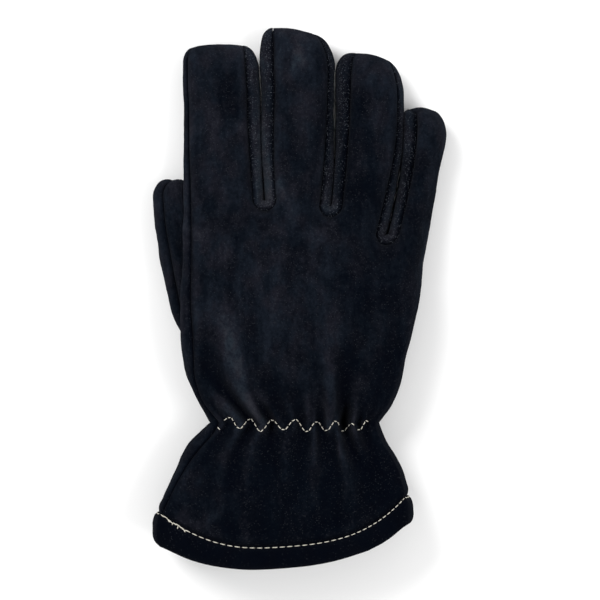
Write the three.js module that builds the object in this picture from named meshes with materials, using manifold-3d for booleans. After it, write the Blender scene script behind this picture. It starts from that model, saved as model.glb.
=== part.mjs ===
// A leather work glove lying palm down: back of the hand up (+Z), fingers along +Y,
// thumb at -X. Millimetres. The origin is under the middle of the glove.
import * as THREE from 'three';
import Module from 'manifold-3d';

const wasm = await Module();
wasm.setup();

// Leather and seams
const WALL = 2.4;
const SEAM_GAP = 0.3;
const SEAM_PULL = 0.18;
const SEAM_INSET = 4.4;
const RIGHT_SEAM_INSET = 3.1;
const UNDER_INSET = 7;
const SETTLE = 0.6;
const PALM_FLATNESS = 5;

// Hand, from the wrist line to the gap beside the index finger
const WRIST_Y = -70;
const HAND_LENGTH = 118.4;
const HAND_HEIGHT = 41;
const KNUCKLE_LEFT = -63.9;
const KNUCKLE_HEIGHT = 32;
const SWELL_START = 0.5;
const VALLEY_START = 0.82;
const VALLEY_BLEND = 0.25;
const NOTCH_START = 0.94;
const NOTCH_BLEND = 0.09;
const THUMB_TUCK = 17;

// Wrist and cuff
const WRIST_LEFT = -49.1;
const WRIST_RIGHT = 44.8;
const WRIST_HEIGHT = 33;
const WRIST_LIFT = 2.5;
const LIFT_REACH = 0.3;
const CUFF_LENGTH = 50;
const CUFF_LEFT = -78.6;
const CUFF_RIGHT = 61;
const CUFF_HEIGHT = 44;
const CUFF_SKEW = 9;
const CUFF_SAG = 21.6;
const CUFF_FULL_LEFT = 2.4;
const CUFF_FULL_RIGHT = 3.1;
const SAG_GROWTH = 1.3;
const GATHER_DEPTH = 2.6;
const GATHER_SINK = 0.6;
const GATHER_EDGE = 0.06;

// Rolled hem round the mouth
const HEM_WIDTH = 12;
const HEM_LEFT_WIDTH = 13.8;
const HEM_THICK = 6;
const HEM_PROUD = 2.4;
const HEM_FLARE = 0;

// Fingers
const FINGER_HEIGHT = 25.5;
const TIP_HEIGHT = 10.5;
const TIP_BOW = 1.2;
const GAP_RADIUS = 5.3;
const SLIT = 0.8;
const FINGER_FALL = 0.45;
const FALL_START = 1.1;
const INDEX_LENGTH = 91.3;
const INDEX_WIDTH = 45.1;
const MIDDLE_LENGTH = 101.2;
const MIDDLE_WIDTH = 36;
const RING_LENGTH = 97;
const RING_WIDTH = 30.6;
const LITTLE_LENGTH = 80.4;
const LITTLE_WIDTH = 21.8;
// Corners of the tips: across as shares of the finger's width, along as shares of its length
const FINGERS = [
  {
    length: INDEX_LENGTH, width: INDEX_WIDTH, slant: 0.04,
    left: 0.12, leftLong: 0.1, right: 0.21, rightLong: 0.19,
  },
  {
    length: MIDDLE_LENGTH, width: MIDDLE_WIDTH, slant: -0.15,
    left: 0.2, leftLong: 0.16, right: 0.34, rightLong: 0.2,
  },
  {
    length: RING_LENGTH, width: RING_WIDTH, slant: -0.22,
    left: 0.4, leftLong: 0.18, right: 0.3, rightLong: 0.22,
  },
  {
    length: LITTLE_LENGTH, width: LITTLE_WIDTH, slant: -0.03,
    left: 0.15, leftLong: 0.06, right: 0.56, rightLong: 0.2,
  },
];
// Lines beside and between the fingers: start as a share of the hand, fan and its reach, flare
// near the tip, and at the tips the seams' distance before and after it in gap radii
const SIDES = [
  { start: 1, fan: 0.3, reach: 60, flare: -0.6, before: 1, after: 1 },
  { start: 1, fan: -2.4, reach: 50, flare: -0.8, before: 1.3, after: 1.35 },
  { start: 0.972, fan: 2.6, reach: 40, flare: 0, before: 0.5, after: 1.55 },
  { start: 0.841, fan: 10.2, reach: 67, flare: 0, before: 0.45, after: 1.25 },
  { start: 0.743, fan: 14, reach: 118, flare: 1.4, before: 1, after: 1 },
];
const SEAM_DRIFT = 0.75;
const LEAN_START = 0.4;
const FLARE_START = 0.62;
const FLARE_SPAN = 0.18;

// Thumb, a tube beside and under the edge of the hand
const THUMB_TIP_Y = 65.6;
const THUMB_LENGTH = 104;
const THUMB_HALF = 12.6;
const THUMB_HEIGHT = 22.5;
const THUMB_X = -69.5;
const THUMB_SWEEP = 33;
const THUMB_ROUND = 10;
const THUMB_SQUARE = 0.85;
const THUMB_LEAN = 0.5;

// Sections of the hand: left and right grow from wrist (0) to knuckles (1)
const HAND_ROWS = [
  { along: 0, left: 0, right: 0, inset: 0.9, side: 0.5, seam: 0.8, tuck: 0, rise: 0 },
  { along: 0.1, left: 0.46, right: 0.24, inset: 0.45, side: 0.5, seam: 0.8, tuck: 0, rise: 0.4 },
  { along: 0.2, left: 0.84, right: 0.4, inset: 0.8, side: 0.54, seam: 0.81, tuck: 0.12, rise: 0.7 },
  { along: 0.3, left: 1.03, right: 0.51, inset: 1.3, side: 0.6, seam: 0.83, tuck: 0.5, rise: 0.9 },
  { along: 0.4, left: 1.11, right: 0.59, inset: 1.5, side: 0.66, seam: 0.85, tuck: 0.85, rise: 1 },
  { along: 0.58, left: 1.1, right: 0.74, inset: 1.2, side: 0.68, seam: 0.86, tuck: 1, rise: 1 },
  { along: 0.76, left: 1.02, right: 0.87, inset: 1, side: 0.68, seam: 0.86, tuck: 1, rise: 0.85 },
  { along: 0.88, left: 1, right: 0.95, inset: 0.9, side: 0.67, seam: 0.85, tuck: 0.95, rise: 0.5 },
  { along: 1, left: 1, right: 1, inset: 0.78, side: 0.64, seam: 0.84, tuck: 0.8, rise: 0 },
  { along: 1.14, left: 1, right: 1, inset: 0.6, side: 0.56, seam: 0.82, tuck: 0.4, rise: 0 },
  { along: 1.3, left: 1, right: 1, inset: 0.38, side: 0.5, seam: 0.8, tuck: 0, rise: 0 },
  { along: 2, left: 1, right: 1, inset: 0.3, side: 0.5, seam: 0.8, tuck: 0, rise: 0 },
];

// Sections of the cuff from the wrist (0) to the hem (1)
const CUFF_ROWS = [
  { along: 0, left: 0, right: 0, inset: 0.9, rise: 0, lift: 1 },
  { along: 0.12, left: 0.21, right: 0.1, inset: 1.5, rise: 0.1, lift: 0.95 },
  { along: 0.25, left: 0.42, right: 0.24, inset: 1.6, rise: 0.28, lift: 0.85 },
  { along: 0.45, left: 0.6, right: 0.56, inset: 1.1, rise: 0.55, lift: 0.85 },
  { along: 0.7, left: 0.78, right: 0.85, inset: 0.7, rise: 0.82, lift: 0.85 },
  { along: 1, left: 1, right: 1, inset: 0.6, rise: 1, lift: 0.9 },
];

// Gathers of the wrist: place across, half width, rise, reach up the hand and down the cuff
const GATHERS = [
  { at: 0.06, spread: 0.03, rise: 0.6, up: 0.14, down: 0.35 },
  { at: 0.155, spread: 0.035, rise: 0.8, up: 0.18, down: 0.6 },
  { at: 0.285, spread: 0.032, rise: 1.35, up: 0.5, down: 0.4 },
  { at: 0.385, spread: 0.035, rise: 0.7, up: 0.2, down: 0.5 },
  { at: 0.5, spread: 0.035, rise: 0.75, up: 0.22, down: 0.35 },
  { at: 0.61, spread: 0.035, rise: 0.7, up: 0.2, down: 0.4 },
  { at: 0.715, spread: 0.032, rise: 1.3, up: 0.5, down: 0.3 },
  { at: 0.805, spread: 0.03, rise: 1, up: 0.25, down: 1.1 },
  { at: 0.93, spread: 0.035, rise: 1, up: 0.3, down: 0.8 },
];

const GATHER_REACH = { up: 0.2, down: 0.5 };

// The thumb from its tip (0) to its root (1): sweep inwards, half width, height, middle height
const THUMB_ROWS = [
  { along: 0, sweep: -0.02, half: 0.9, tall: 0.84, middle: 0.44 },
  { along: 0.15, sweep: 0.04, half: 1, tall: 0.96, middle: 0.49 },
  { along: 0.33, sweep: 0.118, half: 0.97, tall: 1, middle: 0.5 },
  { along: 0.55, sweep: 0.233, half: 0.95, tall: 1, middle: 0.51 },
  { along: 0.75, sweep: 0.38, half: 0.95, tall: 1, middle: 0.55 },
  { along: 1, sweep: 0.85, half: 0.85, tall: 0.92, middle: 0.66 },
];

// Section of the hem: along its width, and from its inner face (0) to its outer face (1)
const HEM_ROWS = [
  { along: 0, out: 0.84 },
  { along: 0.2, out: 1 },
  { along: 0.75, out: 1 },
  { along: 1, out: 0.55 },
  { along: 0.8, out: 0 },
  { along: 0, out: 0 },
];

// How finely the panels are divided
const COLUMNS = 8;
const STRIP_COLUMNS = 4;
const CUFF_STATIONS = [1, 0.8, 0.6, 0.41, 0.24, 0.1];
const HAND_STATIONS = [0, 0.07, 0.15, 0.25, 0.37, 0.5, 0.64, 0.78, 0.9, 1];
const GAP_TURNS = [0, 1 / 3, 2 / 3, 1];
const BODY_STATIONS = [0.18, 0.42, 0.72, 1];
const TIP_TURNS = [0.35, 0.65, 0.86, 1];
const THUMB_SIDES = 16;
const THUMB_STATIONS = [0, 0.12, 0.27, 0.42, 0.56, 0.7, 0.84, 1];
const THUMB_TURNS = [0.06, 0.35, 0.65, 0.88];

// Shares of a section's height that place its edges
const SEAM_SHARE = 0.8;
const SIDE_SHARE = 0.48;
const UNDER_SHARE = 0.16;
const QUARTER = Math.PI / 2;
const EIGHTH = Math.PI / 4;

const lerp = (a, b, t) => a + (b - a) * t;
const clamp01 = (t) => Math.min(1, Math.max(0, t));
const smooth = (t) => clamp01(t) ** 2 * (3 - 2 * clamp01(t));
const mix = (p, q, t) => p.clone().lerp(q, t);

// A column of a table as a smooth curve through its rows
function column(rows, key, along) {
  const last = rows.length - 1;
  let i = 0;
  while (i < last - 1 && along > rows[i + 1].along) i += 1;
  const slope = (j) => {
    const before = rows[Math.max(0, j - 1)];
    const after = rows[Math.min(last, j + 1)];
    return (after[key] - before[key]) / (after.along - before.along);
  };
  const span = rows[i + 1].along - rows[i].along;
  const t = clamp01((along - rows[i].along) / span);
  const rise = (3 - 2 * t) * t * t;
  const leave = ((t - 2) * t + 1) * t * span * slope(i);
  const arrive = (t - 1) * t * t * span * slope(i + 1);
  return lerp(rows[i][key], rows[i + 1][key], rise) + leave + arrive;
}

// A rise from 0 to 1 that leaves with a given slope and arrives level
function ease(t, start) {
  const u = clamp01(t);
  return start * u + (3 - 2 * start) * u ** 2 + (start - 2) * u ** 3;
}

// Where the lines beside and between the fingers start, and their course up the fingers
const gapY = SIDES.map((side) => WRIST_Y + side.start * HAND_LENGTH);
const rootX = SIDES.map((_, k) =>
  FINGERS.slice(0, k).reduce((sum, finger) => sum + finger.width, KNUCKLE_LEFT));
const tipY = FINGERS.map((finger, i) => (gapY[i] + gapY[i + 1]) / 2 + finger.length);
function sideX(k, y) {
  const { fan, reach, flare } = SIDES[k];
  const share = (y - gapY[k]) / (tipY[Math.min(k, FINGERS.length - 1)] - gapY[k]);
  const fanned = fan * Math.sin(QUARTER * clamp01((y - gapY[k]) / reach));
  return rootX[k] + fanned + flare * smooth((share - FLARE_START) / FLARE_SPAN);
}

// Every row of a finger: turn round the gap, share of the straight body, turn over the tip
const FINGER_ROWS = [
  ...GAP_TURNS.map((gap) => ({ gap, body: 0, tip: 0 })),
  ...BODY_STATIONS.map((body) => ({ gap: 1, body, tip: 0 })),
  ...TIP_TURNS.map((tip) => ({ gap: 1, body: 1, tip })),
];

// One side of a finger at a row: back edge, widest point and palm edge
function fingerSide(i, out, row) {
  const finger = FINGERS[i];
  const k = out > 0 ? i + 1 : i;
  const outer = k === 0 || k === SIDES.length - 1;
  const gap = QUARTER * row.gap;
  const tip = QUARTER * row.tip;
  const corner = finger.width * (out > 0 ? finger.right : finger.left);
  const cornerLong = finger.length * (out > 0 ? finger.rightLong : finger.leftLong);
  const bodyTop = tipY[i] - cornerLong;
  const gapTop = gapY[k] + GAP_RADIUS;
  let y = row.gap < 1 ? gapTop - GAP_RADIUS * Math.cos(gap) : lerp(gapTop, bodyTop, row.body);
  y += cornerLong * Math.sin(tip);
  const share = clamp01((y - gapY[k]) / (tipY[i] - gapY[k]));
  const high = lerp(KNUCKLE_HEIGHT, FINGER_HEIGHT, ease(share / FINGER_FALL, FALL_START));
  const open = Math.cos(tip);
  const turned = sideX(k, y) - out * corner * (1 - open);
  const back = new THREE.Vector3();
  const wide = new THREE.Vector3();
  const palm = new THREE.Vector3();
  let seam = SEAM_SHARE;
  let side = SIDE_SHARE;
  if (outer) {
    let inset = RIGHT_SEAM_INSET;
    let under = UNDER_INSET;
    if (k === 0) {
      const reach = 1 + (y - gapY[0]) / HAND_LENGTH;
      inset = SEAM_INSET * column(HAND_ROWS, 'inset', reach);
      under += THUMB_TUCK * column(HAND_ROWS, 'tuck', reach);
      seam = column(HAND_ROWS, 'seam', reach);
      side = column(HAND_ROWS, 'side', reach);
    }
    wide.set(turned, y, 0);
    back.set(turned - out * inset * open, y, 0);
    palm.set(turned - out * under * open, y, 0);
  } else {
    const sine = Math.sin(gap);
    const drift = smooth((y - gapTop) / (SEAM_DRIFT * finger.length));
    const seamOff = GAP_RADIUS * lerp(1, out > 0 ? SIDES[k].before : SIDES[k].after, drift);
    wide.set(turned - out * (SLIT / 2) * sine, Math.max(y, gapTop - (SLIT / 2) * Math.cos(gap)), 0);
    back.set(turned - out * lerp(SLIT / 2, seamOff, open) * sine, y, 0);
    palm.copy(back);
  }
  back.z = lerp(TIP_HEIGHT, seam * high, open);
  wide.z = lerp(TIP_HEIGHT, side * high, open);
  palm.z = lerp(TIP_HEIGHT, UNDER_SHARE * high, open);
  const lean = finger.slant * smooth((share - LEAN_START) / (1 - LEAN_START));
  const middle = (sideX(i, y) + sideX(i + 1, y)) / 2;
  for (const point of [back, wide, palm]) point.y += lean * (point.x - middle);
  return { back, wide, palm, high, open };
}

// Crown of a row: share across for each column, and the rise there
const arcAt = (w) => lerp(EIGHTH, Math.PI - EIGHTH, w);
const across = (w) => (Math.cos(EIGHTH) - Math.cos(arcAt(w))) / (2 * Math.cos(EIGHTH));
const crownAt = (x) => {
  const sine = Math.sin(Math.acos(Math.cos(EIGHTH) * (1 - 2 * x)));
  return (sine - Math.sin(EIGHTH)) / (1 - Math.sin(EIGHTH));
};
const flatAt = (x) => 1 - Math.abs(2 * x - 1) ** PALM_FLATNESS;

function crownedPoint(left, right, x, top, rise) {
  const point = mix(left, right, x);
  point.z += (top - (left.z + right.z) / 2) * rise;
  return point;
}

// Rows of a finger on the back and on the palm
function fingerGrids(i) {
  const sides = FINGER_ROWS.map((row) => [fingerSide(i, -1, row), fingerSide(i, 1, row)]);
  const grid = (edge, level, rise) => sides.map(([left, right]) =>
    Array.from({ length: COLUMNS + 1 }, (_, j) => {
      const x = across(j / COLUMNS);
      const high = lerp(left.high, right.high, x);
      const top = lerp(TIP_HEIGHT, level(high), left.open);
      const point = crownedPoint(left[edge], right[edge], x, top, rise(x));
      point.y += TIP_BOW * (1 - left.open) * Math.sin(Math.PI * x);
      point.z = Math.max(0, point.z);
      return point;
    }));
  return { sides, back: grid('back', (high) => high, crownAt), palm: grid('palm', () => -SETTLE, flatAt) };
}
const fingers = FINGERS.map((_, i) => fingerGrids(i));

// How much the gathers lift the leather at a place across and along
function gathered(x, up, down) {
  const fade = smooth(x / GATHER_EDGE) * smooth((1 - x) / GATHER_EDGE);
  const near = Math.exp(-((up / GATHER_REACH.up) ** 2) - (down / GATHER_REACH.down) ** 2);
  const ridges = GATHERS.reduce((sum, g) => sum
    + g.rise * Math.exp(-(((x - g.at) / g.spread) ** 2) - (up / g.up) ** 2 - (down / g.down) ** 2), 0);
  return GATHER_DEPTH * fade * (ridges - GATHER_SINK * near);
}

// The two sides of the hand and cuff at a row; up is a share of the hand, down of the cuff
function handSides(up, down) {
  const last = SIDES.length - 1;
  const high = down > 0
    ? lerp(WRIST_HEIGHT, CUFF_HEIGHT, column(CUFF_ROWS, 'rise', down))
    : lerp(WRIST_HEIGHT + up * (KNUCKLE_HEIGHT - WRIST_HEIGHT), HAND_HEIGHT, column(HAND_ROWS, 'rise', up));
  const lift = down > 0
    ? WRIST_LIFT * column(CUFF_ROWS, 'lift', down)
    : WRIST_LIFT * (1 - smooth(up / LIFT_REACH));
  const seams = down > 0 ? 0 : up;
  const inset = SEAM_INSET * (down > 0 ? column(CUFF_ROWS, 'inset', down) : column(HAND_ROWS, 'inset', up));
  const tuck = THUMB_TUCK * column(HAND_ROWS, 'tuck', seams);
  const leftX = down > 0
    ? lerp(WRIST_LEFT, CUFF_LEFT, column(CUFF_ROWS, 'left', down))
    : lerp(WRIST_LEFT, rootX[0], column(HAND_ROWS, 'left', up));
  const rightX = down > 0
    ? lerp(WRIST_RIGHT, CUFF_RIGHT, column(CUFF_ROWS, 'right', down))
    : lerp(WRIST_RIGHT, rootX[last], column(HAND_ROWS, 'right', up));
  const leftY = down > 0 ? WRIST_Y - CUFF_LENGTH * down : lerp(WRIST_Y, gapY[0], up);
  const rightY = down > 0
    ? WRIST_Y - (CUFF_LENGTH - CUFF_SKEW) * down
    : lerp(WRIST_Y, gapY[last], up);
  const level = (share) => lift + share * (high - lift);
  const left = {
    back: new THREE.Vector3(leftX + inset, leftY, level(column(HAND_ROWS, 'seam', seams))),
    wide: new THREE.Vector3(leftX, leftY, level(column(HAND_ROWS, 'side', seams))),
    palm: new THREE.Vector3(leftX + UNDER_INSET + tuck, leftY, level(UNDER_SHARE)),
  };
  const right = {
    back: new THREE.Vector3(rightX - RIGHT_SEAM_INSET, rightY, level(SEAM_SHARE)),
    wide: new THREE.Vector3(rightX, rightY, level(SIDE_SHARE)),
    palm: new THREE.Vector3(rightX - UNDER_INSET, rightY, level(UNDER_SHARE)),
  };
  return { left, right, high, lift };
}

const HAND_STEPS = [
  ...CUFF_STATIONS.map((down) => ({ up: 0, down })),
  ...HAND_STATIONS.map((up) => ({ up, down: 0 })),
];
const handRows = HAND_STEPS.map(({ up, down }) => handSides(up, down));

// Heights across the foot of the fingers with the valleys between them smoothed away
function evened(heights, blend) {
  let level = heights;
  for (let pass = 0; pass < 2 * (blend * COLUMNS) ** 2; pass += 1) {
    level = level.map((value, j) => {
      const before = level[Math.max(0, j - 1)];
      const after = level[Math.min(level.length - 1, j + 1)];
      return j === 0 || j === level.length - 1 ? value : (before + 2 * value + after) / 4;
    });
  }
  return level;
}

// Rows of the hand and cuff; the last one is the foot of the four fingers
function handGrid(edge, face) {
  const foot = fingers.flatMap((finger, i) => finger[edge][0].slice(i === 0 ? 0 : 1));
  const ends = [foot[0], foot[foot.length - 1]];
  const shares = foot.map((point) => (point.x - ends[0].x) / (ends[1].x - ends[0].x));
  const rise = face > 0 ? crownAt : flatAt;
  const heights = foot.map((point) => point.z);
  const broad = evened(heights, VALLEY_BLEND);
  const near = evened(heights, NOTCH_BLEND);
  const plain = (row, x) => {
    const top = face > 0 ? row.high : row.lift - SETTLE;
    return crownedPoint(row.left[edge], row.right[edge], x, top, rise(x));
  };
  return handRows.map((row, r) => shares.map((x, j) => {
    const { up, down } = HAND_STEPS[r];
    if (up === 1) return foot[j].clone();
    const point = plain(row, x);
    const footBow = foot[j].y - lerp(ends[0].y, ends[1].y, x);
    const fullness = lerp(CUFF_FULL_LEFT, CUFF_FULL_RIGHT, x);
    const sag = CUFF_SAG * down ** SAG_GROWTH * (1 - Math.abs(2 * x - 1) ** fullness);
    point.y += footBow * up - sag;
    const swell = broad[j] - plain(handRows[handRows.length - 1], x).z;
    point.z += swell * smooth((up - SWELL_START) / (1 - SWELL_START));
    point.z += (near[j] - broad[j]) * smooth((up - VALLEY_START) / (1 - VALLEY_START));
    point.z += (heights[j] - near[j]) * smooth((up - NOTCH_START) / (1 - NOTCH_START));
    if (face > 0) point.z += gathered(x, up, down);
    else point.z = Math.max(0, point.z - gathered(x, up, down) / 2);
    return point;
  }));
}

// A strip between a back edge and a palm edge, over the widest line
function strip(stations) {
  return stations.map(({ back, wide, palm }) =>
    Array.from({ length: STRIP_COLUMNS + 1 }, (_, j) => {
      const angle = lerp(EIGHTH, -EIGHTH, j / STRIP_COLUMNS);
      const end = angle > 0 ? back : palm;
      const reach = (1 - Math.cos(angle)) / (1 - Math.cos(EIGHTH));
      const climb = Math.abs(Math.sin(angle)) / Math.sin(EIGHTH);
      const point = mix(wide, end, reach);
      point.z = lerp(wide.z, end.z, climb);
      return point;
    }));
}
const handLeft = handRows.slice(0, -1).map((row) => row.left);
const handRight = handRows.slice(0, -1).map((row) => row.right);
const leftSide = strip([...handLeft, ...fingers[0].sides.map(([left]) => left)]);
const rightSide = strip([...handRight, ...fingers[3].sides.map(([, right]) => right)]);
const gussets = [1, 2, 3].map((k) => strip([
  ...fingers[k - 1].sides.map(([, right]) => right).reverse(),
  ...fingers[k].sides.slice(1).map(([left]) => left),
]));
const backHand = handGrid('back', 1);
const palmHand = handGrid('palm', -1);

// The whole outer skin as one welded mesh, with the faces of each grid kept apart
const skin = { points: [], keys: new Map() };
function weld(point) {
  const key = point.toArray().map((value) => Math.round(value * 1000)).join(' ');
  if (!skin.keys.has(key)) {
    skin.keys.set(key, skin.points.length);
    skin.points.push(point.clone());
  }
  return skin.keys.get(key);
}
function faces(grid, flip) {
  const ids = grid.map((row) => row.map(weld));
  const list = [];
  for (let r = 0; r + 1 < ids.length; r += 1) {
    for (let j = 0; j + 1 < ids[r].length; j += 1) {
      const [a, b, c, d] = [ids[r][j], ids[r][j + 1], ids[r + 1][j + 1], ids[r + 1][j]];
      for (const [p, q, s] of [[a, b, c], [a, c, d]]) {
        if (p !== q && q !== s && s !== p) list.push(flip ? [p, s, q] : [p, q, s]);
      }
    }
  }
  return list;
}
const backGrids = [backHand, ...fingers.map((finger) => finger.back), rightSide];
const palmGrids = [palmHand, ...fingers.map((finger) => finger.palm), leftSide];
const panels = {
  back: backGrids.flatMap((grid) => faces(grid, false)),
  palm: palmGrids.flatMap((grid) => faces(grid, true)),
  gussets: gussets.map((grid) => faces(grid, true)),
};

function skinNormals(triangles) {
  const normals = skin.points.map(() => new THREE.Vector3());
  for (const [a, b, c] of triangles) {
    const edge = skin.points[b].clone().sub(skin.points[a]);
    const normal = edge.cross(skin.points[c].clone().sub(skin.points[a]));
    for (const id of [a, b, c]) normals[id].add(normal);
  }
  return normals.map((normal) => normal.normalize());
}
const allFaces = [...panels.back, ...panels.palm, ...panels.gussets.flat()];
const normals = skinNormals(allFaces);

function manifoldOf(points, triangles) {
  const vertProperties = new Float32Array(points.flatMap((p) => [p.x, p.y, p.z]));
  const triVerts = new Uint32Array(triangles.flat());
  return new wasm.Manifold(new wasm.Mesh({ numProp: 3, vertProperties, triVerts }));
}

// A panel of the skin as a closed wall, drawn back a little from its seams
function wall(triangles) {
  const ids = [...new Set(triangles.flat())];
  const place = new Map(ids.map((id, i) => [id, i]));
  const edges = new Map();
  for (const [a, b, c] of triangles) {
    for (const [p, q] of [[a, b], [b, c], [c, a]]) edges.set(`${p} ${q}`, [p, q]);
  }
  const rim = [...edges.values()].filter(([p, q]) => !edges.has(`${q} ${p}`));
  const onRim = new Set(rim.flat());
  const inward = new Map([...onRim].map((id) => [id, new THREE.Vector3()]));
  for (const triangle of triangles) {
    const middle = new THREE.Vector3();
    for (const id of triangle) middle.addScaledVector(skin.points[id], 1 / 3);
    for (const id of triangle) {
      if (onRim.has(id)) inward.get(id).add(middle.clone().sub(skin.points[id]).normalize());
    }
  }
  const outer = ids.map((id) => {
    const point = skin.points[id].clone();
    if (!onRim.has(id)) return point;
    const pull = inward.get(id).projectOnPlane(normals[id]).normalize();
    return point.addScaledVector(pull, SEAM_PULL);
  });
  const inner = outer.map((point, i) => point.clone().addScaledVector(normals[ids[i]], -WALL));
  const n = ids.length;
  const solid = [];
  for (const triangle of triangles) {
    const [a, b, c] = triangle.map((id) => place.get(id));
    solid.push([a, b, c], [c + n, b + n, a + n]);
  }
  for (const [p, q] of rim) {
    const [a, b] = [place.get(p), place.get(q)];
    if (p < q) solid.push([b, a, b + n], [a, a + n, b + n]);
    else solid.push([b, a, a + n], [b, a + n, b + n]);
  }
  return manifoldOf([...outer, ...inner], solid);
}

// A solid lofted through closed rings of equal count, with flat ends
function loft(rings) {
  const count = rings[0].length;
  const points = rings.flat();
  const triangles = [];
  for (let r = 0; r + 1 < rings.length; r += 1) {
    for (let j = 0; j < count; j += 1) {
      const next = (j + 1) % count;
      const [a, b, c, d] = [r * count + j, r * count + next, (r + 1) * count + next, (r + 1) * count + j];
      triangles.push([a, b, c], [a, c, d]);
    }
  }
  const last = (rings.length - 1) * count;
  for (let j = 1; j + 1 < count; j += 1) {
    triangles.push([0, j + 1, j], [last, last + j, last + j + 1]);
  }
  return manifoldOf(points, triangles);
}

// The thumb's middle and half sizes at a share of its length
function thumbSection(along) {
  return {
    x: THUMB_X + THUMB_SWEEP * column(THUMB_ROWS, 'sweep', along),
    z: THUMB_HEIGHT * column(THUMB_ROWS, 'middle', along),
    half: THUMB_HALF * column(THUMB_ROWS, 'half', along),
    tall: (THUMB_HEIGHT / 2) * column(THUMB_ROWS, 'tall', along),
  };
}
const thumbY = (share) => THUMB_TIP_Y - THUMB_ROUND - share * (THUMB_LENGTH - THUMB_ROUND);
const squared = (value) => Math.sign(value) * Math.abs(value) ** THUMB_SQUARE;

// The thumb as a solid tube, drawn in by a depth from its outer face
function thumbSolid(depth) {
  const tips = THUMB_TURNS.map((turn) => {
    const angle = QUARTER * turn;
    return { y: thumbY(0) + (THUMB_ROUND - depth) * Math.cos(angle), open: Math.sin(angle), along: 0 };
  });
  const body = THUMB_STATIONS.map((share) => ({ y: thumbY(share), open: 1, along: share }));
  const rings = [...tips, ...body].map(({ y, open, along }) => {
    const section = thumbSection(along);
    const half = (section.half - depth) * open;
    const tall = (section.tall - depth) * open;
    return Array.from({ length: THUMB_SIDES }, (_, j) => {
      const angle = (2 * Math.PI * j) / THUMB_SIDES;
      const x = section.x + half * squared(Math.cos(angle));
      return new THREE.Vector3(x, y, section.z + tall * squared(Math.sin(angle)));
    });
  });
  return loft(rings);
}
const thumbOuter = thumbSolid(0);
const thumbBore = thumbSolid(WALL);

// Everything inside the hand's skin, a little proud of it
function handEnvelope() {
  const mouth = new THREE.Vector3();
  const loop = [];
  const used = new Map();
  for (const [a, b, c] of allFaces) {
    for (const [p, q] of [[a, b], [b, c], [c, a]]) used.set(`${p} ${q}`, [p, q]);
  }
  for (const [key, [p, q]] of used) {
    if (!used.has(`${q} ${p}`)) loop.push([p, q]);
  }
  for (const [p] of loop) mouth.addScaledVector(skin.points[p], 1 / loop.length);
  const points = skin.points.map((point, i) => point.clone().addScaledVector(normals[i], SEAM_GAP));
  points.push(mouth);
  const caps = loop.map(([p, q]) => [q, p, points.length - 1]);
  return manifoldOf(points, [...allFaces, ...caps]);
}
const envelope = handEnvelope();

function largest(solid) {
  const pieces = solid.decompose();
  return pieces.reduce((best, piece) => (piece.volume() > best.volume() ? piece : best));
}
const thumbWall = thumbOuter.subtract(thumbBore).subtract(envelope);

// A thin leaning sheet through the thumb that parts it along its two seams
function thumbSeam() {
  const reach = THUMB_HEIGHT * 1.5;
  const shares = [-0.2, ...THUMB_STATIONS, 1.1];
  const rings = shares.map((share) => {
    const { x, z } = thumbSection(clamp01(share));
    const spot = (side, end) => new THREE.Vector3(
      x - end * reach * Math.sin(THUMB_LEAN) + (side * SEAM_GAP) / 2,
      thumbY(share),
      z + end * reach * Math.cos(THUMB_LEAN),
    );
    return [spot(-1, -1), spot(-1, 1), spot(1, 1), spot(1, -1)];
  });
  return loft(rings.reverse());
}

// The hem: a rolled band that carries on from the end of the panels all round
function hemSolid() {
  const ringOf = (r) => [
    ...backHand[r].filter((_, j) => j % 2 === 0),
    ...rightSide[r].slice(1, -1),
    ...palmHand[r].filter((_, j) => j % 2 === 0).reverse(),
    ...leftSide[r].slice(1, -1).reverse(),
  ];
  const edge = ringOf(0);
  const before = ringOf(1);
  const count = edge.length;
  const rings = edge.map((point, j) => {
    const tangent = point.clone().sub(before[j]).normalize();
    const straight = tangent.clone().setX(tangent.x * HEM_FLARE).normalize();
    const ahead = edge[(j + 1) % count].clone().sub(edge[(j + count - 1) % count]).normalize();
    const width = lerp(HEM_LEFT_WIDTH, HEM_WIDTH, smooth(1 - point.x / CUFF_LEFT));
    return HEM_ROWS.map((row) => {
      const down = row.along > 0 ? straight : tangent;
      const out = down.clone().cross(ahead).normalize();
      const corner = point.clone().addScaledVector(down, lerp(SEAM_GAP, width, row.along));
      corner.addScaledVector(out, HEM_PROUD - HEM_THICK * (1 - row.out));
      corner.z = Math.max(0, corner.z);
      return corner;
    });
  });
  const points = rings.flat();
  const size = HEM_ROWS.length;
  const triangles = [];
  for (let r = 0; r < count; r += 1) {
    for (let j = 0; j < size; j += 1) {
      const next = (j + 1) % size;
      const after = (r + 1) % count;
      const [a, b] = [r * size + j, r * size + next];
      const [c, d] = [after * size + next, after * size + j];
      triangles.push([a, b, c], [a, c, d]);
    }
  }
  return manifoldOf(points, triangles);
}

function geometryOf(solid) {
  const { vertProperties, triVerts } = solid.getMesh();
  const geometry = new THREE.BufferGeometry();
  geometry.setAttribute('position', new THREE.BufferAttribute(new Float32Array(vertProperties), 3));
  geometry.setIndex(new THREE.BufferAttribute(new Uint32Array(triVerts), 1));
  geometry.computeVertexNormals();
  return geometry;
}

const glove = new THREE.Group();
function add(name, solid, color) {
  const material = new THREE.MeshStandardMaterial({ color, roughness: 0.92, metalness: 0 });
  const mesh = new THREE.Mesh(geometryOf(solid), material);
  mesh.name = name;
  glove.add(mesh);
}

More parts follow.
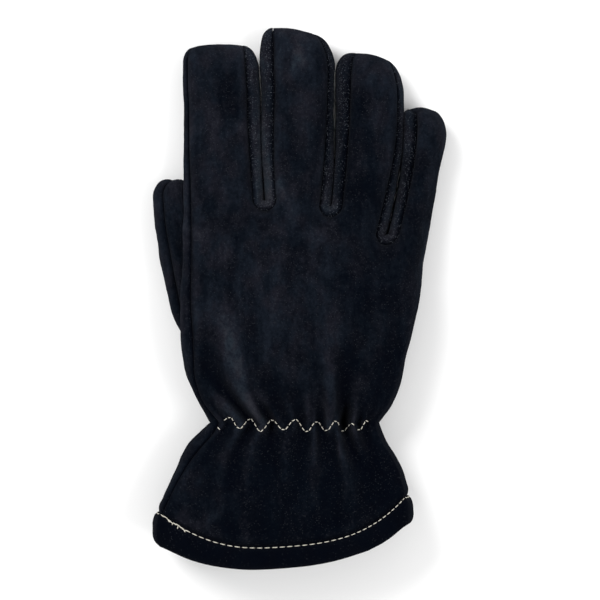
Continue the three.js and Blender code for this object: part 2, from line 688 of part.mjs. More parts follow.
const LEATHER = '#14161b';
const GUSSET_LEATHER = '#17191f';
add('back_panel', wall(panels.back), LEATHER);
add('palm_panel', largest(wall(panels.palm).subtract(thumbBore)), LEATHER);
add('fourchette_index_middle', wall(panels.gussets[0]), GUSSET_LEATHER);
add('fourchette_middle_ring', wall(panels.gussets[1]), GUSSET_LEATHER);
add('fourchette_ring_little', wall(panels.gussets[2]), GUSSET_LEATHER);
add('cuff_hem', hemSolid(), LEATHER);
const thumbHalves = thumbWall.subtract(thumbSeam()).decompose().sort((a, b) => b.volume() - a.volume());
const [first, second] = thumbHalves;
const upper = (solid) => solid.boundingBox().max[2];
add('thumb_back', upper(first) > upper(second) ? first : second, LEATHER);
add('thumb_front', upper(first) > upper(second) ? second : first, LEATHER);

export default glove;
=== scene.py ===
import math

import bmesh
import bpy
import numpy as np
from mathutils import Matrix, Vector
from mathutils.bvhtree import BVHTree
from mathutils.kdtree import KDTree


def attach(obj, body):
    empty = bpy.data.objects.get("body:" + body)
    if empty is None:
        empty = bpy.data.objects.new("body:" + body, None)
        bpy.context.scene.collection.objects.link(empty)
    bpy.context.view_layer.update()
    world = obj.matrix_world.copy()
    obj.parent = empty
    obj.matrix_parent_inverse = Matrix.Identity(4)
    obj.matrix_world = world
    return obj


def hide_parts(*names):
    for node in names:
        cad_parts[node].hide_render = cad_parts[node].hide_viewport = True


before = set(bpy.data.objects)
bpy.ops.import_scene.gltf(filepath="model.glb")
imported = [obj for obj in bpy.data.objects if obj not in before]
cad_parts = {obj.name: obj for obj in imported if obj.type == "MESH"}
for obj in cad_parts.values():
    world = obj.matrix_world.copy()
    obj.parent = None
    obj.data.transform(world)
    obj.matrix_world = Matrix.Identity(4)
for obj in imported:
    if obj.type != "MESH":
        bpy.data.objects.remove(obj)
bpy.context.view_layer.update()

MM = 0.001


def table(keys, rows):
    """Rows of numbers as dictionaries that share their keys."""
    return [dict(zip(keys.split(), row)) for row in rows]


# Sizes in millimetres, the same as the solids' but for CUFF_LENGTH and CUFF_FULL_LEFT, which lay
# the mouth's edge where the photograph has it
WALL = 2.4
SEAM_INSET = 4.4
RIGHT_SEAM_INSET = 3.1
UNDER_INSET = 7
SETTLE = 0.6
PALM_FLATNESS = 5
WRIST_Y = -70
HAND_LENGTH = 118.4
HAND_HEIGHT = 41
KNUCKLE_LEFT = -63.9
KNUCKLE_HEIGHT = 32
SWELL_START = 0.5
VALLEY_START = 0.82
VALLEY_BLEND = 0.25
NOTCH_START = 0.94
NOTCH_BLEND = 0.09
THUMB_TUCK = 17
WRIST_LEFT = -49.1
WRIST_RIGHT = 44.8
WRIST_HEIGHT = 33
WRIST_LIFT = 2.5
LIFT_REACH = 0.3
CUFF_LENGTH = 49
CUFF_LEFT = -78.6
CUFF_RIGHT = 61
CUFF_HEIGHT = 44
CUFF_SKEW = 9
CUFF_SAG = 21.6
CUFF_FULL_LEFT = 2.3
CUFF_FULL_RIGHT = 3.2
SAG_GROWTH = 1.3
HEM_WIDTH = 12
HEM_LEFT_WIDTH = 13.8
HEM_THICK = 6
HEM_PROUD = 2.4
FINGER_HEIGHT = 25.5
TIP_HEIGHT = 10.5
TIP_BOW = 1.2
GAP_RADIUS = 5.3
SLIT = 0.8
FINGER_FALL = 0.45
FALL_START = 1.1
# The fingers from the index to the little one; left and right are the corners of the tip, as
# shares of the finger's width and, in the long ones, of its length
FINGERS = table("length width slant left left_long right right_long", [
    (91.3, 45.1, 0.04, 0.12, 0.1, 0.21, 0.19),
    (101.2, 36, -0.15, 0.2, 0.16, 0.34, 0.2),
    (97, 30.6, -0.22, 0.4, 0.18, 0.3, 0.22),
    (80.4, 21.8, -0.03, 0.15, 0.06, 0.56, 0.2),
])
# The lines beside and between the fingers: where each starts on the hand, how far it fans out and
# over what length, its flare, and where the seams before and after it end, in gap radii
SIDES = table("start fan reach flare before after", [
    (1, 0.3, 60, -0.6, 1, 1),
    (1, -2.4, 50, -0.8, 1.3, 1.35),
    (0.972, 2.6, 40, 0, 0.5, 1.55),
    (0.841, 10.2, 67, 0, 0.45, 1.25),
    (0.743, 14, 118, 1.4, 1, 1),
])
SEAM_DRIFT = 0.75
LEAN_START = 0.4
FLARE_START = 0.62
FLARE_SPAN = 0.18
THUMB_TIP_Y = 65.6
THUMB_LENGTH = 104
THUMB_HALF = 12.6
THUMB_HEIGHT = 22.5
THUMB_X = -69.5
THUMB_SWEEP = 33
THUMB_ROUND = 10
THUMB_SQUARE = 0.85
THUMB_LEAN = 0.5

# How the edges and heights run along the hand (0 at the wrist), the cuff and the thumb
HAND_ROWS = dict(
    along=[0, 0.1, 0.2, 0.3, 0.4, 0.58, 0.76, 0.88, 1, 1.14, 1.3, 2],
    left=[0, 0.46, 0.84, 1.03, 1.11, 1.1, 1.02, 1, 1, 1, 1, 1],
    right=[0, 0.24, 0.4, 0.51, 0.59, 0.74, 0.87, 0.95, 1, 1, 1, 1],
    inset=[0.9, 0.45, 0.8, 1.3, 1.5, 1.2, 1, 0.9, 0.78, 0.6, 0.38, 0.3],
    side=[0.5, 0.5, 0.54, 0.6, 0.66, 0.68, 0.68, 0.67, 0.64, 0.56, 0.5, 0.5],
    seam=[0.8, 0.8, 0.81, 0.83, 0.85, 0.86, 0.86, 0.85, 0.84, 0.82, 0.8, 0.8],
    tuck=[0, 0, 0.12, 0.5, 0.85, 1, 1, 0.95, 0.8, 0.4, 0, 0],
    rise=[0, 0.4, 0.7, 0.9, 1, 1, 0.85, 0.5, 0, 0, 0, 0],
)
CUFF_ROWS = dict(
    along=[0, 0.12, 0.25, 0.45, 0.7, 1],
    left=[0, 0.21, 0.42, 0.6, 0.78, 1],
    right=[0, 0.1, 0.24, 0.56, 0.85, 1],
    inset=[0.9, 1.5, 1.6, 1.1, 0.7, 0.6],
    rise=[0, 0.1, 0.28, 0.55, 0.82, 1],
    lift=[1, 0.95, 0.85, 0.85, 0.85, 0.9],
)
THUMB_ROWS = dict(
    along=[0, 0.15, 0.33, 0.55, 0.75, 1],
    sweep=[-0.02, 0.04, 0.118, 0.233, 0.38, 0.85],
    half=[0.9, 1, 0.97, 0.95, 0.95, 0.85],
    tall=[0.84, 0.96, 1, 1, 1, 0.92],
    middle=[0.44, 0.49, 0.5, 0.51, 0.55, 0.66],
)
SEAM_SHARE = 0.8
SIDE_SHARE = 0.48
UNDER_SHARE = 0.16
QUARTER = math.pi / 2
EIGHTH = math.pi / 4

# Folds that the gathered wrist sends up the hand and down the cuff: place across at the wrist,
# drift across on the way, half width, rise (a valley is negative) and reach
FOLD_DEPTH = 3.3
FOLD_EDGE = 0.05
FOLD_WIDENING = 0.8
FOLD_CROSSING = 0.09
FOLD_KEYS = "at drift spread rise reach"
FOLDS_UP = table(FOLD_KEYS, [
    (0.04, 0.1, 0.025, 0.5, 0.07),
    (0.17, -0.6, 0.03, 0.7, 0.15),
    (0.25, -0.62, 0.036, -1.3, 0.26),
    (0.29, -0.3, 0.04, 1.4, 0.42),
    (0.35, -0.55, 0.025, -0.8, 0.12),
    (0.405, -0.45, 0.024, 0.8, 0.16),
    (0.455, -0.2, 0.018, -0.4, 0.1),
    (0.49, -0.2, 0.02, 0.5, 0.13),
    (0.53, 0, 0.018, -0.5, 0.1),
    (0.572, 0, 0.022, 0.6, 0.17),
    (0.64, -0.1, 0.028, -0.6, 0.15),
    (0.713, -0.12, 0.036, 1.9, 0.4),
    (0.8, -0.25, 0.03, -2, 0.28),
    (0.856, -0.4, 0.024, 0.9, 0.15),
    (0.892, -0.3, 0.018, -0.7, 0.13),
    (0.925, 0.35, 0.022, 0.8, 0.13),
])
FOLDS_DOWN = table(FOLD_KEYS, [
    (0.06, 0, 0.022, -0.7, 0.3),
    (0.14, 0.07, 0.022, 0.7, 0.5),
    (0.2, 0.05, 0.025, -0.6, 0.4),
    (0.275, 0, 0.022, 0.6, 0.35),
    (0.35, 0.12, 0.028, -0.7, 0.35),
    (0.45, 0.06, 0.022, 0.6, 0.42),
    (0.555, 0, 0.024, -0.6, 0.25),
    (0.62, 0.01, 0.02, 0.8, 0.5),
    (0.675, 0, 0.02, -0.7, 0.35),
    (0.765, 0.02, 0.022, 1.2, 0.75),
    (0.8, 0.12, 0.024, -1.1, 0.5),
    (0.86, 0.03, 0.022, 0.8, 0.4),
    (0.94, -0.08, 0.022, -0.9, 0.5),
])

# How finely the leather is divided
COLUMNS = 36
STRIP_COLUMNS = 22
CUFF_STEPS = 52
HAND_STEPS = 104
GAP_STEPS = 12
GAP_CROWDING = 0.6
BODY_STEPS = 70
TIP_STEPS = 16
WELD_GRID = 1000
LEAST_LENGTH = 1e-9


def lerp(a, b, t):
    return a + (b - a) * t


def smooth(t):
    t = np.clip(t, 0.0, 1.0)
    return t * t * (3 - 2 * t)


def late(share, start):
    """A rise from 0 at a start to 1 at the whole share."""
    return float(smooth((share - start) / (1 - start)))


def bell(value, middle, reach):
    return np.exp(-(((value - middle) / reach) ** 2))


def powered(value, exponent):
    """A power of the size that keeps the sign."""
    return np.sign(value) * np.abs(value) ** exponent


def unit(vectors):
    return vectors / np.maximum(np.linalg.norm(vectors, axis=1, keepdims=True), LEAST_LENGTH)


def evened_ring(values, passes):
    """Values round a closed ring, each drawn to its two neighbours."""
    for _ in range(passes):
        values = (np.roll(values, 1, axis=0) + 2 * values + np.roll(values, -1, axis=0)) / 4
    return values


def column(rows, key, along):
    """A column of a table as a smooth curve through its rows."""
    at, value = rows["along"], rows[key]
    last = len(at) - 1
    i = 0
    while i < last - 1 and along > at[i + 1]:
        i += 1

    def slope(j):
        a, b = max(0, j - 1), min(last, j + 1)
        return (value[b] - value[a]) / (at[b] - at[a])

    span = at[i + 1] - at[i]
    t = min(1.0, max(0.0, (along - at[i]) / span))
    rise = (3 - 2 * t) * t * t
    leave = ((t - 2) * t + 1) * t * span * slope(i)
    arrive = (t - 1) * t * t * span * slope(i + 1)
    return lerp(value[i], value[i + 1], rise) + leave + arrive


GAP_Y = [WRIST_Y + side["start"] * HAND_LENGTH for side in SIDES]
ROOT_X = [KNUCKLE_LEFT + sum(f["width"] for f in FINGERS[:k]) for k in range(len(SIDES))]
TIP_Y = [(GAP_Y[i] + GAP_Y[i + 1]) / 2 + f["length"] for i, f in enumerate(FINGERS)]


def ease(t, start):
    """A rise from 0 to 1 that leaves with a given slope and arrives level."""
    u = min(1.0, max(0.0, t))
    return start * u + (3 - 2 * start) * u ** 2 + (start - 2) * u ** 3


def side_x(k, y):
    """Where a line beside the fingers lies across at a place along."""
    side = SIDES[k]
    share = (y - GAP_Y[k]) / (TIP_Y[min(k, len(FINGERS) - 1)] - GAP_Y[k])
    turn = QUARTER * min(1.0, max(0.0, (y - GAP_Y[k]) / side["reach"]))
    flare = side["flare"] * float(smooth((share - FLARE_START) / FLARE_SPAN))
    return ROOT_X[k] + side["fan"] * math.sin(turn) + flare


def finger_rows():
    """Stations of a finger: turn of its gap, share of its body and turn of its tip."""
    rows = [((g / GAP_STEPS) ** GAP_CROWDING, 0.0, 0.0) for g in range(GAP_STEPS + 1)]
    rows += [(1.0, b / BODY_STEPS, 0.0) for b in range(1, BODY_STEPS + 1)]
    rows += [(1.0, 1.0, t / TIP_STEPS) for t in range(1, TIP_STEPS + 1)]
    return rows


def finger_side(i, out, row):
    """Back edge, widest point and palm edge of one side of a finger."""
    gap_turn, body, tip_turn = row
    finger = FINGERS[i]
    hand_side = "right" if out > 0 else "left"
    corner = finger["width"] * finger[hand_side]
    corner_long = finger["length"] * finger[hand_side + "_long"]
    k = i + 1 if out > 0 else i
    outer = k in (0, len(SIDES) - 1)
    gap, tip = QUARTER * gap_turn, QUARTER * tip_turn
    body_top = TIP_Y[i] - corner_long
    gap_top = GAP_Y[k] + GAP_RADIUS
    y = gap_top - GAP_RADIUS * math.cos(gap) if gap_turn < 1 else lerp(gap_top, body_top, body)
    y += corner_long * math.sin(tip)
    share = min(1.0, max(0.0, (y - GAP_Y[k]) / (TIP_Y[i] - GAP_Y[k])))
    high = lerp(KNUCKLE_HEIGHT, FINGER_HEIGHT, ease(share / FINGER_FALL, FALL_START))
    open_ = math.cos(tip)
    turned = side_x(k, y) - out * corner * (1 - open_)
    seam, side = SEAM_SHARE, SIDE_SHARE
    if outer:
        inset, under = RIGHT_SEAM_INSET, UNDER_INSET
        if k == 0:
            reach = 1 + (y - GAP_Y[0]) / HAND_LENGTH
            inset = SEAM_INSET * column(HAND_ROWS, "inset", reach)
            under += THUMB_TUCK * column(HAND_ROWS, "tuck", reach)
            seam = column(HAND_ROWS, "seam", reach)
            side = column(HAND_ROWS, "side", reach)
        wide, back, palm = (np.array([turned - out * inward * open_, y, 0.0])
                            for inward in (0, inset, under))
    else:
        sine = math.sin(gap)
        drift = float(smooth((y - gap_top) / (SEAM_DRIFT * finger["length"])))
        seam_off = GAP_RADIUS * lerp(1, SIDES[k]["before" if out > 0 else "after"], drift)
        wide_y = max(y, gap_top - (SLIT / 2) * math.cos(gap))
        wide = np.array([turned - out * (SLIT / 2) * sine, wide_y, 0.0])
        back = np.array([turned - out * lerp(SLIT / 2, seam_off, open_) * sine, y, 0.0])
        palm = back.copy()
    lean = finger["slant"] * late(share, LEAN_START)
    middle = (side_x(i, y) + side_x(i + 1, y)) / 2
    for point, level in ((back, seam), (wide, side), (palm, UNDER_SHARE)):
        point[1] += lean * (point[0] - middle)
        point[2] = lerp(TIP_HEIGHT, level * high, open_)
    return dict(back=back, wide=wide, palm=palm, high=high, open=open_)


def crown_at(x):
    """Height of the rounded back across, from 0 at its edges to 1."""
    sine = np.sin(np.arccos(np.clip(math.cos(EIGHTH) * (1 - 2 * x), -1, 1)))
    return (sine - math.sin(EIGHTH)) / (1 - math.sin(EIGHTH))


def flat_at(x):
    """Depth of the palm across: flat, with rounded edges."""
    return 1 - np.abs(2 * x - 1) ** PALM_FLATNESS


ACROSS = (math.cos(EIGHTH) - np.cos(np.linspace(EIGHTH, math.pi - EIGHTH, COLUMNS + 1))) / (
    2 * math.cos(EIGHTH))


def crowned_row(left, right, x, top, rise):
    """Points from edge to edge that rise towards a top between them."""
    row = left[None, :] + (right - left)[None, :] * x[:, None]
    row[:, 2] += (top - (left[2] + right[2]) / 2) * rise
    return row


def finger_grids(i):
    """Back and palm of a finger as grids, with the sides they start from."""
    sides = [(finger_side(i, -1, row), finger_side(i, 1, row)) for row in finger_rows()]

    def grid(edge, on_back):
        rows = []
        for left, right in sides:
            high = lerp(left["high"], right["high"], ACROSS)
            level = high if on_back else -SETTLE
            top = lerp(TIP_HEIGHT, level, left["open"])
            rise = crown_at(ACROSS) if on_back else flat_at(ACROSS)
            row = crowned_row(left[edge], right[edge], ACROSS, top, rise)
            row[:, 1] += TIP_BOW * (1 - left["open"]) * np.sin(np.pi * ACROSS)
            row[:, 2] = np.maximum(0, row[:, 2])
            rows.append(row)
        return np.array(rows)

    return dict(sides=sides, back=grid("back", True), palm=grid("palm", False))


def folded(x, up, down):
    """How far the folds of the gathers lift the leather at a place across and along."""
    fade = smooth(x / FOLD_EDGE) * smooth((1 - x) / FOLD_EDGE)
    total = np.zeros(len(x))
    for folds, away, beyond in ((FOLDS_UP, up, down), (FOLDS_DOWN, down, up)):
        fading = bell(beyond, 0, FOLD_CROSSING)
        for fold in folds:
            place = fold["at"] + fold["drift"] * away
            width = fold["spread"] * (1 + FOLD_WIDENING * away / fold["reach"])
            along = fading * bell(away, 0, fold["reach"])
            total += fold["rise"] * along * bell(x, place, width)
    return fade * total


def hand_sides(up, down):
    """Both sides of the hand and cuff at a row; up is a share of the hand, down of the cuff."""
    cuff = down > 0
    if cuff:
        high = lerp(WRIST_HEIGHT, CUFF_HEIGHT, column(CUFF_ROWS, "rise", down))
        lift = WRIST_LIFT * column(CUFF_ROWS, "lift", down)
        inset = SEAM_INSET * column(CUFF_ROWS, "inset", down)
        left_x = lerp(WRIST_LEFT, CUFF_LEFT, column(CUFF_ROWS, "left", down))
        right_x = lerp(WRIST_RIGHT, CUFF_RIGHT, column(CUFF_ROWS, "right", down))
        left_y = WRIST_Y - CUFF_LENGTH * down
        right_y = WRIST_Y - (CUFF_LENGTH - CUFF_SKEW) * down
    else:
        base = WRIST_HEIGHT + up * (KNUCKLE_HEIGHT - WRIST_HEIGHT)
        high = lerp(base, HAND_HEIGHT, column(HAND_ROWS, "rise", up))
        lift = WRIST_LIFT * (1 - float(smooth(up / LIFT_REACH)))
        inset = SEAM_INSET * column(HAND_ROWS, "inset", up)
        left_x = lerp(WRIST_LEFT, ROOT_X[0], column(HAND_ROWS, "left", up))
        right_x = lerp(WRIST_RIGHT, ROOT_X[-1], column(HAND_ROWS, "right", up))
        left_y = lerp(WRIST_Y, GAP_Y[0], up)
        right_y = lerp(WRIST_Y, GAP_Y[-1], up)
    seams = 0 if cuff else up
    tuck = THUMB_TUCK * column(HAND_ROWS, "tuck", seams)

    def level(share):
        return lift + share * (high - lift)

    def side(x, y, back_in, palm_in, seam, middle):
        return dict(back=np.array([x + back_in, y, level(seam)]),
                    wide=np.array([x, y, level(middle)]),
                    palm=np.array([x + palm_in, y, level(UNDER_SHARE)]))

    left = side(left_x, left_y, inset, UNDER_INSET + tuck, column(HAND_ROWS, "seam", seams),
                column(HAND_ROWS, "side", seams))
    right = side(right_x, right_y, -RIGHT_SEAM_INSET, -UNDER_INSET, SEAM_SHARE, SIDE_SHARE)
    return dict(left=left, right=right, high=high, lift=lift)


def evened(heights, blend):
    """Heights across the foot of the fingers with the valleys between them smoothed away."""
    level = heights.copy()
    for _ in range(round(2 * (blend * COLUMNS) ** 2)):
        level[1:-1] = (level[:-2] + 2 * level[1:-1] + level[2:]) / 4
    return level


HAND_PLACES = [(0.0, 1 - d / CUFF_STEPS) for d in range(CUFF_STEPS)]
HAND_PLACES += [(u / HAND_STEPS, 0.0) for u in range(HAND_STEPS + 1)]


def hand_grid(edge, on_back, fingers, rows):
    """The hand and cuff; the last row is the foot of the four fingers."""
    foot = np.concatenate([f[edge][0][(0 if i == 0 else 1):] for i, f in enumerate(fingers)])
    x = (foot[:, 0] - foot[0, 0]) / (foot[-1, 0] - foot[0, 0])
    rise = crown_at(x) if on_back else flat_at(x)

    def plain(row):
        top = row["high"] if on_back else row["lift"] - SETTLE
        return crowned_row(row["left"][edge], row["right"][edge], x, top, rise)

    broad = evened(foot[:, 2], VALLEY_BLEND)
    near = evened(foot[:, 2], NOTCH_BLEND)
    swell = broad - plain(rows[-1])[:, 2]
    foot_bow = foot[:, 1] - lerp(foot[0, 1], foot[-1, 1], x)
    grid, folds = [], []
    for row, (up, down) in zip(rows, HAND_PLACES):
        if up == 1:
            grid.append(foot.copy())
            folds.append(np.zeros(len(x)))
            continue
        points = plain(row)
        fullness = lerp(CUFF_FULL_LEFT, CUFF_FULL_RIGHT, x)
        sag = CUFF_SAG * down ** SAG_GROWTH * (1 - np.abs(2 * x - 1) ** fullness)
        points[:, 1] += foot_bow * up - sag
        points[:, 2] += swell * late(up, SWELL_START)
        points[:, 2] += (near - broad) * late(up, VALLEY_START)
        points[:, 2] += (foot[:, 2] - near) * late(up, NOTCH_START)
        lift = FOLD_DEPTH * folded(x, up, down)
        if on_back:
            points[:, 2] += lift
            folds.append(lift / FOLD_DEPTH)
        else:
            points[:, 2] = np.maximum(0, points[:, 2] - lift / 2)
        grid.append(points)
    return np.array(grid), np.array(folds)


def strip(stations):
    """A strip between a back edge and a palm edge, over the widest line."""
    angles = np.linspace(EIGHTH, -EIGHTH, STRIP_COLUMNS + 1)
    reach = (1 - np.cos(angles)) / (1 - math.cos(EIGHTH))
    climb = np.abs(np.sin(angles)) / math.sin(EIGHTH)
    rows = []
    for s in stations:
        ends = np.where(angles[:, None] > 0, s["back"][None, :], s["palm"][None, :])
        row = s["wide"] + (ends - s["wide"]) * reach[:, None]
        row[:, 2] = s["wide"][2] + (ends[:, 2] - s["wide"][2]) * climb
        rows.append(row)
    return np.array(rows)


def build_grids():
    """All grids of the hand's outer skin, with the folds of its back."""
    fingers = [finger_grids(i) for i in range(len(FINGERS))]
    rows = [hand_sides(up, down) for up, down in HAND_PLACES]
    left = [r["left"] for r in rows[:-1]] + [s[0] for s in fingers[0]["sides"]]
    right = [r["right"] for r in rows[:-1]] + [s[1] for s in fingers[-1]["sides"]]
    back_hand, folds = hand_grid("back", True, fingers, rows)
    grids = dict(
        back_hand=back_hand,
        folds=folds,
        palm_hand=hand_grid("palm", False, fingers, rows)[0],
        left=strip(left),
        right=strip(right),
        gussets=[],
    )
    for k in (1, 2, 3):
        down_side = [s[1] for s in fingers[k - 1]["sides"]][::-1]
        up_side = [s[0] for s in fingers[k]["sides"]][1:]
        grids["gussets"].append(strip(down_side + up_side))
    grids["back_fingers"] = [f["back"] for f in fingers]
    grids["palm_fingers"] = [f["palm"] for f in fingers]
    return grids


class Skin:
    """The outer skin as one welded set of points, with faces kept by grid."""

    def __init__(self):
        self.points = []
        self.keys = {}

    def weld(self, point):
        key = tuple(round(value * WELD_GRID) for value in point)
        found = self.keys.get(key)
        if found is None:
            found = len(self.points)
            self.keys[key] = found
            self.points.append(point)
        return found

    def faces(self, grid, flip):
        ids = np.array([[self.weld(p) for p in row] for row in grid.tolist()])
        a, b = ids[:-1, :-1].ravel(), ids[:-1, 1:].ravel()
        c, d = ids[1:, 1:].ravel(), ids[1:, :-1].ravel()
        tris = np.concatenate([np.stack([a, b, c], 1), np.stack([a, c, d], 1)])
        good = (tris[:, 0] != tris[:, 1]) & (tris[:, 1] != tris[:, 2]) & (tris[:, 2] != tris[:, 0])
        tris = tris[good]
        return tris[:, ::-1] if flip else tris


def edges_of(tris):
    return np.concatenate([tris[:, [0, 1]], tris[:, [1, 2]], tris[:, [2, 0]]])


def point_normals(points, tris):
    a, b, c = points[tris[:, 0]], points[tris[:, 1]], points[tris[:, 2]]
    face = np.cross(b - a, c - a)
    normals = np.zeros_like(points)
    for corner in range(3):
        np.add.at(normals, tris[:, corner], face)
    return unit(normals)


def rim_edges(tris):
    """Edges that only one triangle has."""
    known = {(int(p), int(q)) for p, q in edges_of(tris)}
    return np.array([(p, q) for p, q in known if (q, p) not in known])


def added(name, data):
    """A new object in the scene."""
    item = bpy.data.objects.new(name, data)
    bpy.context.scene.collection.objects.link(item)
    return item


def new_object(name, points, faces):
    """A smooth-shaded object from points in millimetres."""
    mesh = bpy.data.meshes.new(name)
    mesh.from_pydata((np.asarray(points) * MM).tolist(), [], [list(map(int, f)) for f in faces])
    mesh.update()
    mesh.polygons.foreach_set("use_smooth", [True] * len(mesh.polygons))
    return added(name, mesh)


def noise(points, size, seed):
    """Smooth noise from -1 to 1 at points in millimetres."""
    p = points / size + seed * 17.31
    cell = np.floor(p).astype(np.int64)
    f = p - cell
    f = f * f * f * (f * (f * 6 - 15) + 10)

    def corner(dx, dy, dz):
        x, y, z = (cell + np.array([dx, dy, dz])).T
        h = (x * 374761393 + y * 668265263 + z * 2147483647 + seed * 144665) & 0xFFFFFFFF
        h = ((h ^ (h >> 13)) * 1274126177) & 0xFFFFFFFF
        return ((h ^ (h >> 16)) & 0xFFFF) / 32767.5 - 1

    total = np.zeros(len(points))
    for dx, dy, dz in np.ndindex(2, 2, 2):
        weight = (np.where(dx, f[:, 0], 1 - f[:, 0]) * np.where(dy, f[:, 1], 1 - f[:, 1])
                  * np.where(dz, f[:, 2], 1 - f[:, 2]))
        total += weight * corner(dx, dy, dz)
    return total


# Relief of the leather: the groove of a seam, the puff beside it and the puckers of its stitches
SEAM_DEPTH = 1.5
SEAM_REACH = 1.5
SEAM_SHARPNESS = 1.3
SEAM_PUFF = 0.45
PUFF_AT = 4.5
PUFF_REACH = 2.4
PUCKER_PITCH = 3.2
PUCKER_SLANT = 0.6
PUCKER_DEPTH = 0.03
PUCKER_REACH = 2.6
# Unevenness: height, size and the share of it that stays at a seam
UNEVEN = [(0.6, 24, 0), (0.26, 9, 0.3), (0.08, 3.2, 1)]
UNEVEN_FROM = 6
SEAM_PULL = 0.18
LEAST_HEIGHT = 0.3
TIP_ROLL = 0.1
TIP_FADE = 15
FOOT_REACH = 7
FOOT_SEAM_REACH = 3
FOOT_PASSES = 30
GAP_CLOSE = 0.34
GAP_CLOSE_FROM = 3
GAP_CLOSE_SPAN = 4

# Painted light and shade on the leather, kept as a value on its points: painted highlights on folds
# and raised edges, painted shade in valleys, hollows, the wrist's gathers, the cuff, the thumb and
# the seams' grooves, a painted falloff of the light to the right and towards the wrist, a painted
# sheen in the finger gaps, a lighter middle of the back and a darker ring finger
# Painted highlight on the folds' ridges and painted shade in their valleys
FOLD_PAINTED_LIGHT = 0.65
FOLD_PAINTED_LIGHT_LIMIT = 1.2
# Painted highlight on raised edges and painted shade in hollows
EDGE_PAINTED_LIGHT = 0.22
EDGE_PROUD = 0.28
EDGE_PASSES = 6
# Painted falloff of the light: darker towards the right and towards the wrist
PAINTED_FALLOFF = 0.2
FALLOFF_LENGTH = 150
FALLOFF_WIDTH = 80
# Lighter over the middle of the back
MIDDLE_LIGHTER, MIDDLE_WIDE, MIDDLE_LONG = 0.16, 45, 32
GATHER_SHADE, GATHER_AT, GATHER_REACH = 0.26, 14, 20
RING_SHADE, RING_X, RING_WIDE, RING_FROM, RING_SPAN = 0.4, 22, 13, 30, 30
CUFF_SHADE, CUFF_SHADE_FROM, CUFF_SHADE_SPAN = 0.28, 10, 30
THUMB_SHADE = 0.3
SEAM_SHADE = 0.38
SEAM_SHADE_REACH = 1.2
GUSSET_SHADE_REACH = 1.1
# Painted sheen on the fourchettes in the finger gaps
GAP_SHEEN = 0.5
GAP_SHEEN_REACH = 34
GAP_SHEEN_FROM = 9
GAP_SHEEN_SPAN = 10


def nearest(points, places):
    """How far each point is from the nearest of some places."""
    tree = KDTree(len(places))
    for i, p in enumerate(places.tolist()):
        tree.insert(p, i)
    tree.balance()
    return np.array([tree.find(p)[2] for p in points.tolist()])


def relief(points, normals, distance, rolled):
    """Rolled seams, puckers and the soft unevenness of the leather."""
    depth = -SEAM_DEPTH * rolled * np.exp(-((distance / SEAM_REACH) ** SEAM_SHARPNESS))
    depth += SEAM_PUFF * rolled * bell(distance, PUFF_AT, PUFF_REACH)
    pucker = np.sin(2 * np.pi * (points[:, 1] + PUCKER_SLANT * points[:, 0]) / PUCKER_PITCH)
    depth += PUCKER_DEPTH * rolled * pucker * bell(distance, 0, PUCKER_REACH)
    away = smooth(distance / UNEVEN_FROM)
    for seed, (height, size, at_seam) in enumerate(UNEVEN, 1):
        depth += lerp(at_seam, 1, away) * height * noise(points, size, seed)
    moved = points + normals * depth[:, None]
    moved[:, 2] = np.maximum(moved[:, 2], np.minimum(points[:, 2], 0.0))
    return moved


def neighbours(tris):
    """Both ends of every edge, each way round."""
    edges = edges_of(tris)
    return np.concatenate([edges[:, 0], edges[:, 1]]), np.concatenate([edges[:, 1], edges[:, 0]])


def evened_points(points, near, passes, share=1.0):
    """Points drawn to the middle of their neighbours, pass after pass."""
    a, b = near
    count = np.maximum(np.bincount(a, minlength=len(points)), 1)
    even = points.copy()
    for _ in range(passes):
        for k in range(3):
            middle = np.bincount(a, even[b, k], len(points)) / count
            even[:, k] += share * (middle - even[:, k])
    return even


def paint_light_and_tone(points, normals, near, folds):
    """Painted light and shade on the nap: folds and raised edges painted lighter, valleys and
    hollows painted darker, a painted falloff of the light, painted shade over the wrist's gathers
    and the cuff, a lighter middle and a darker ring finger.
    """
    level = evened_points(points, near, EDGE_PASSES)
    proud = np.sum((points - level) * normals, axis=1)
    x, y = points[:, 0], points[:, 1]
    # Painted highlights on folds and raised edges, painted shade in valleys and hollows
    painted_relief_light = (FOLD_PAINTED_LIGHT * np.clip(folds, -FOLD_PAINTED_LIGHT_LIMIT, FOLD_PAINTED_LIGHT_LIMIT)
              + EDGE_PAINTED_LIGHT * np.clip(proud / EDGE_PROUD, -1, 1))
    # Painted falloff of the light towards the right and the wrist
    broad = PAINTED_FALLOFF * y / FALLOFF_LENGTH - PAINTED_FALLOFF * x / FALLOFF_WIDTH
    lighter_middle = MIDDLE_LIGHTER * bell(x, 0, MIDDLE_WIDE) * bell(y, 0, MIDDLE_LONG)
    gathered = GATHER_SHADE * bell(y, WRIST_Y + GATHER_AT, GATHER_REACH)
    ring_finger = RING_SHADE * bell(x, RING_X, RING_WIDE) * smooth((y - RING_FROM) / RING_SPAN)
    cuff = CUFF_SHADE * smooth((WRIST_Y + CUFF_SHADE_FROM - y) / CUFF_SHADE_SPAN)
    return painted_relief_light + broad + lighter_middle - gathered - ring_finger - cuff


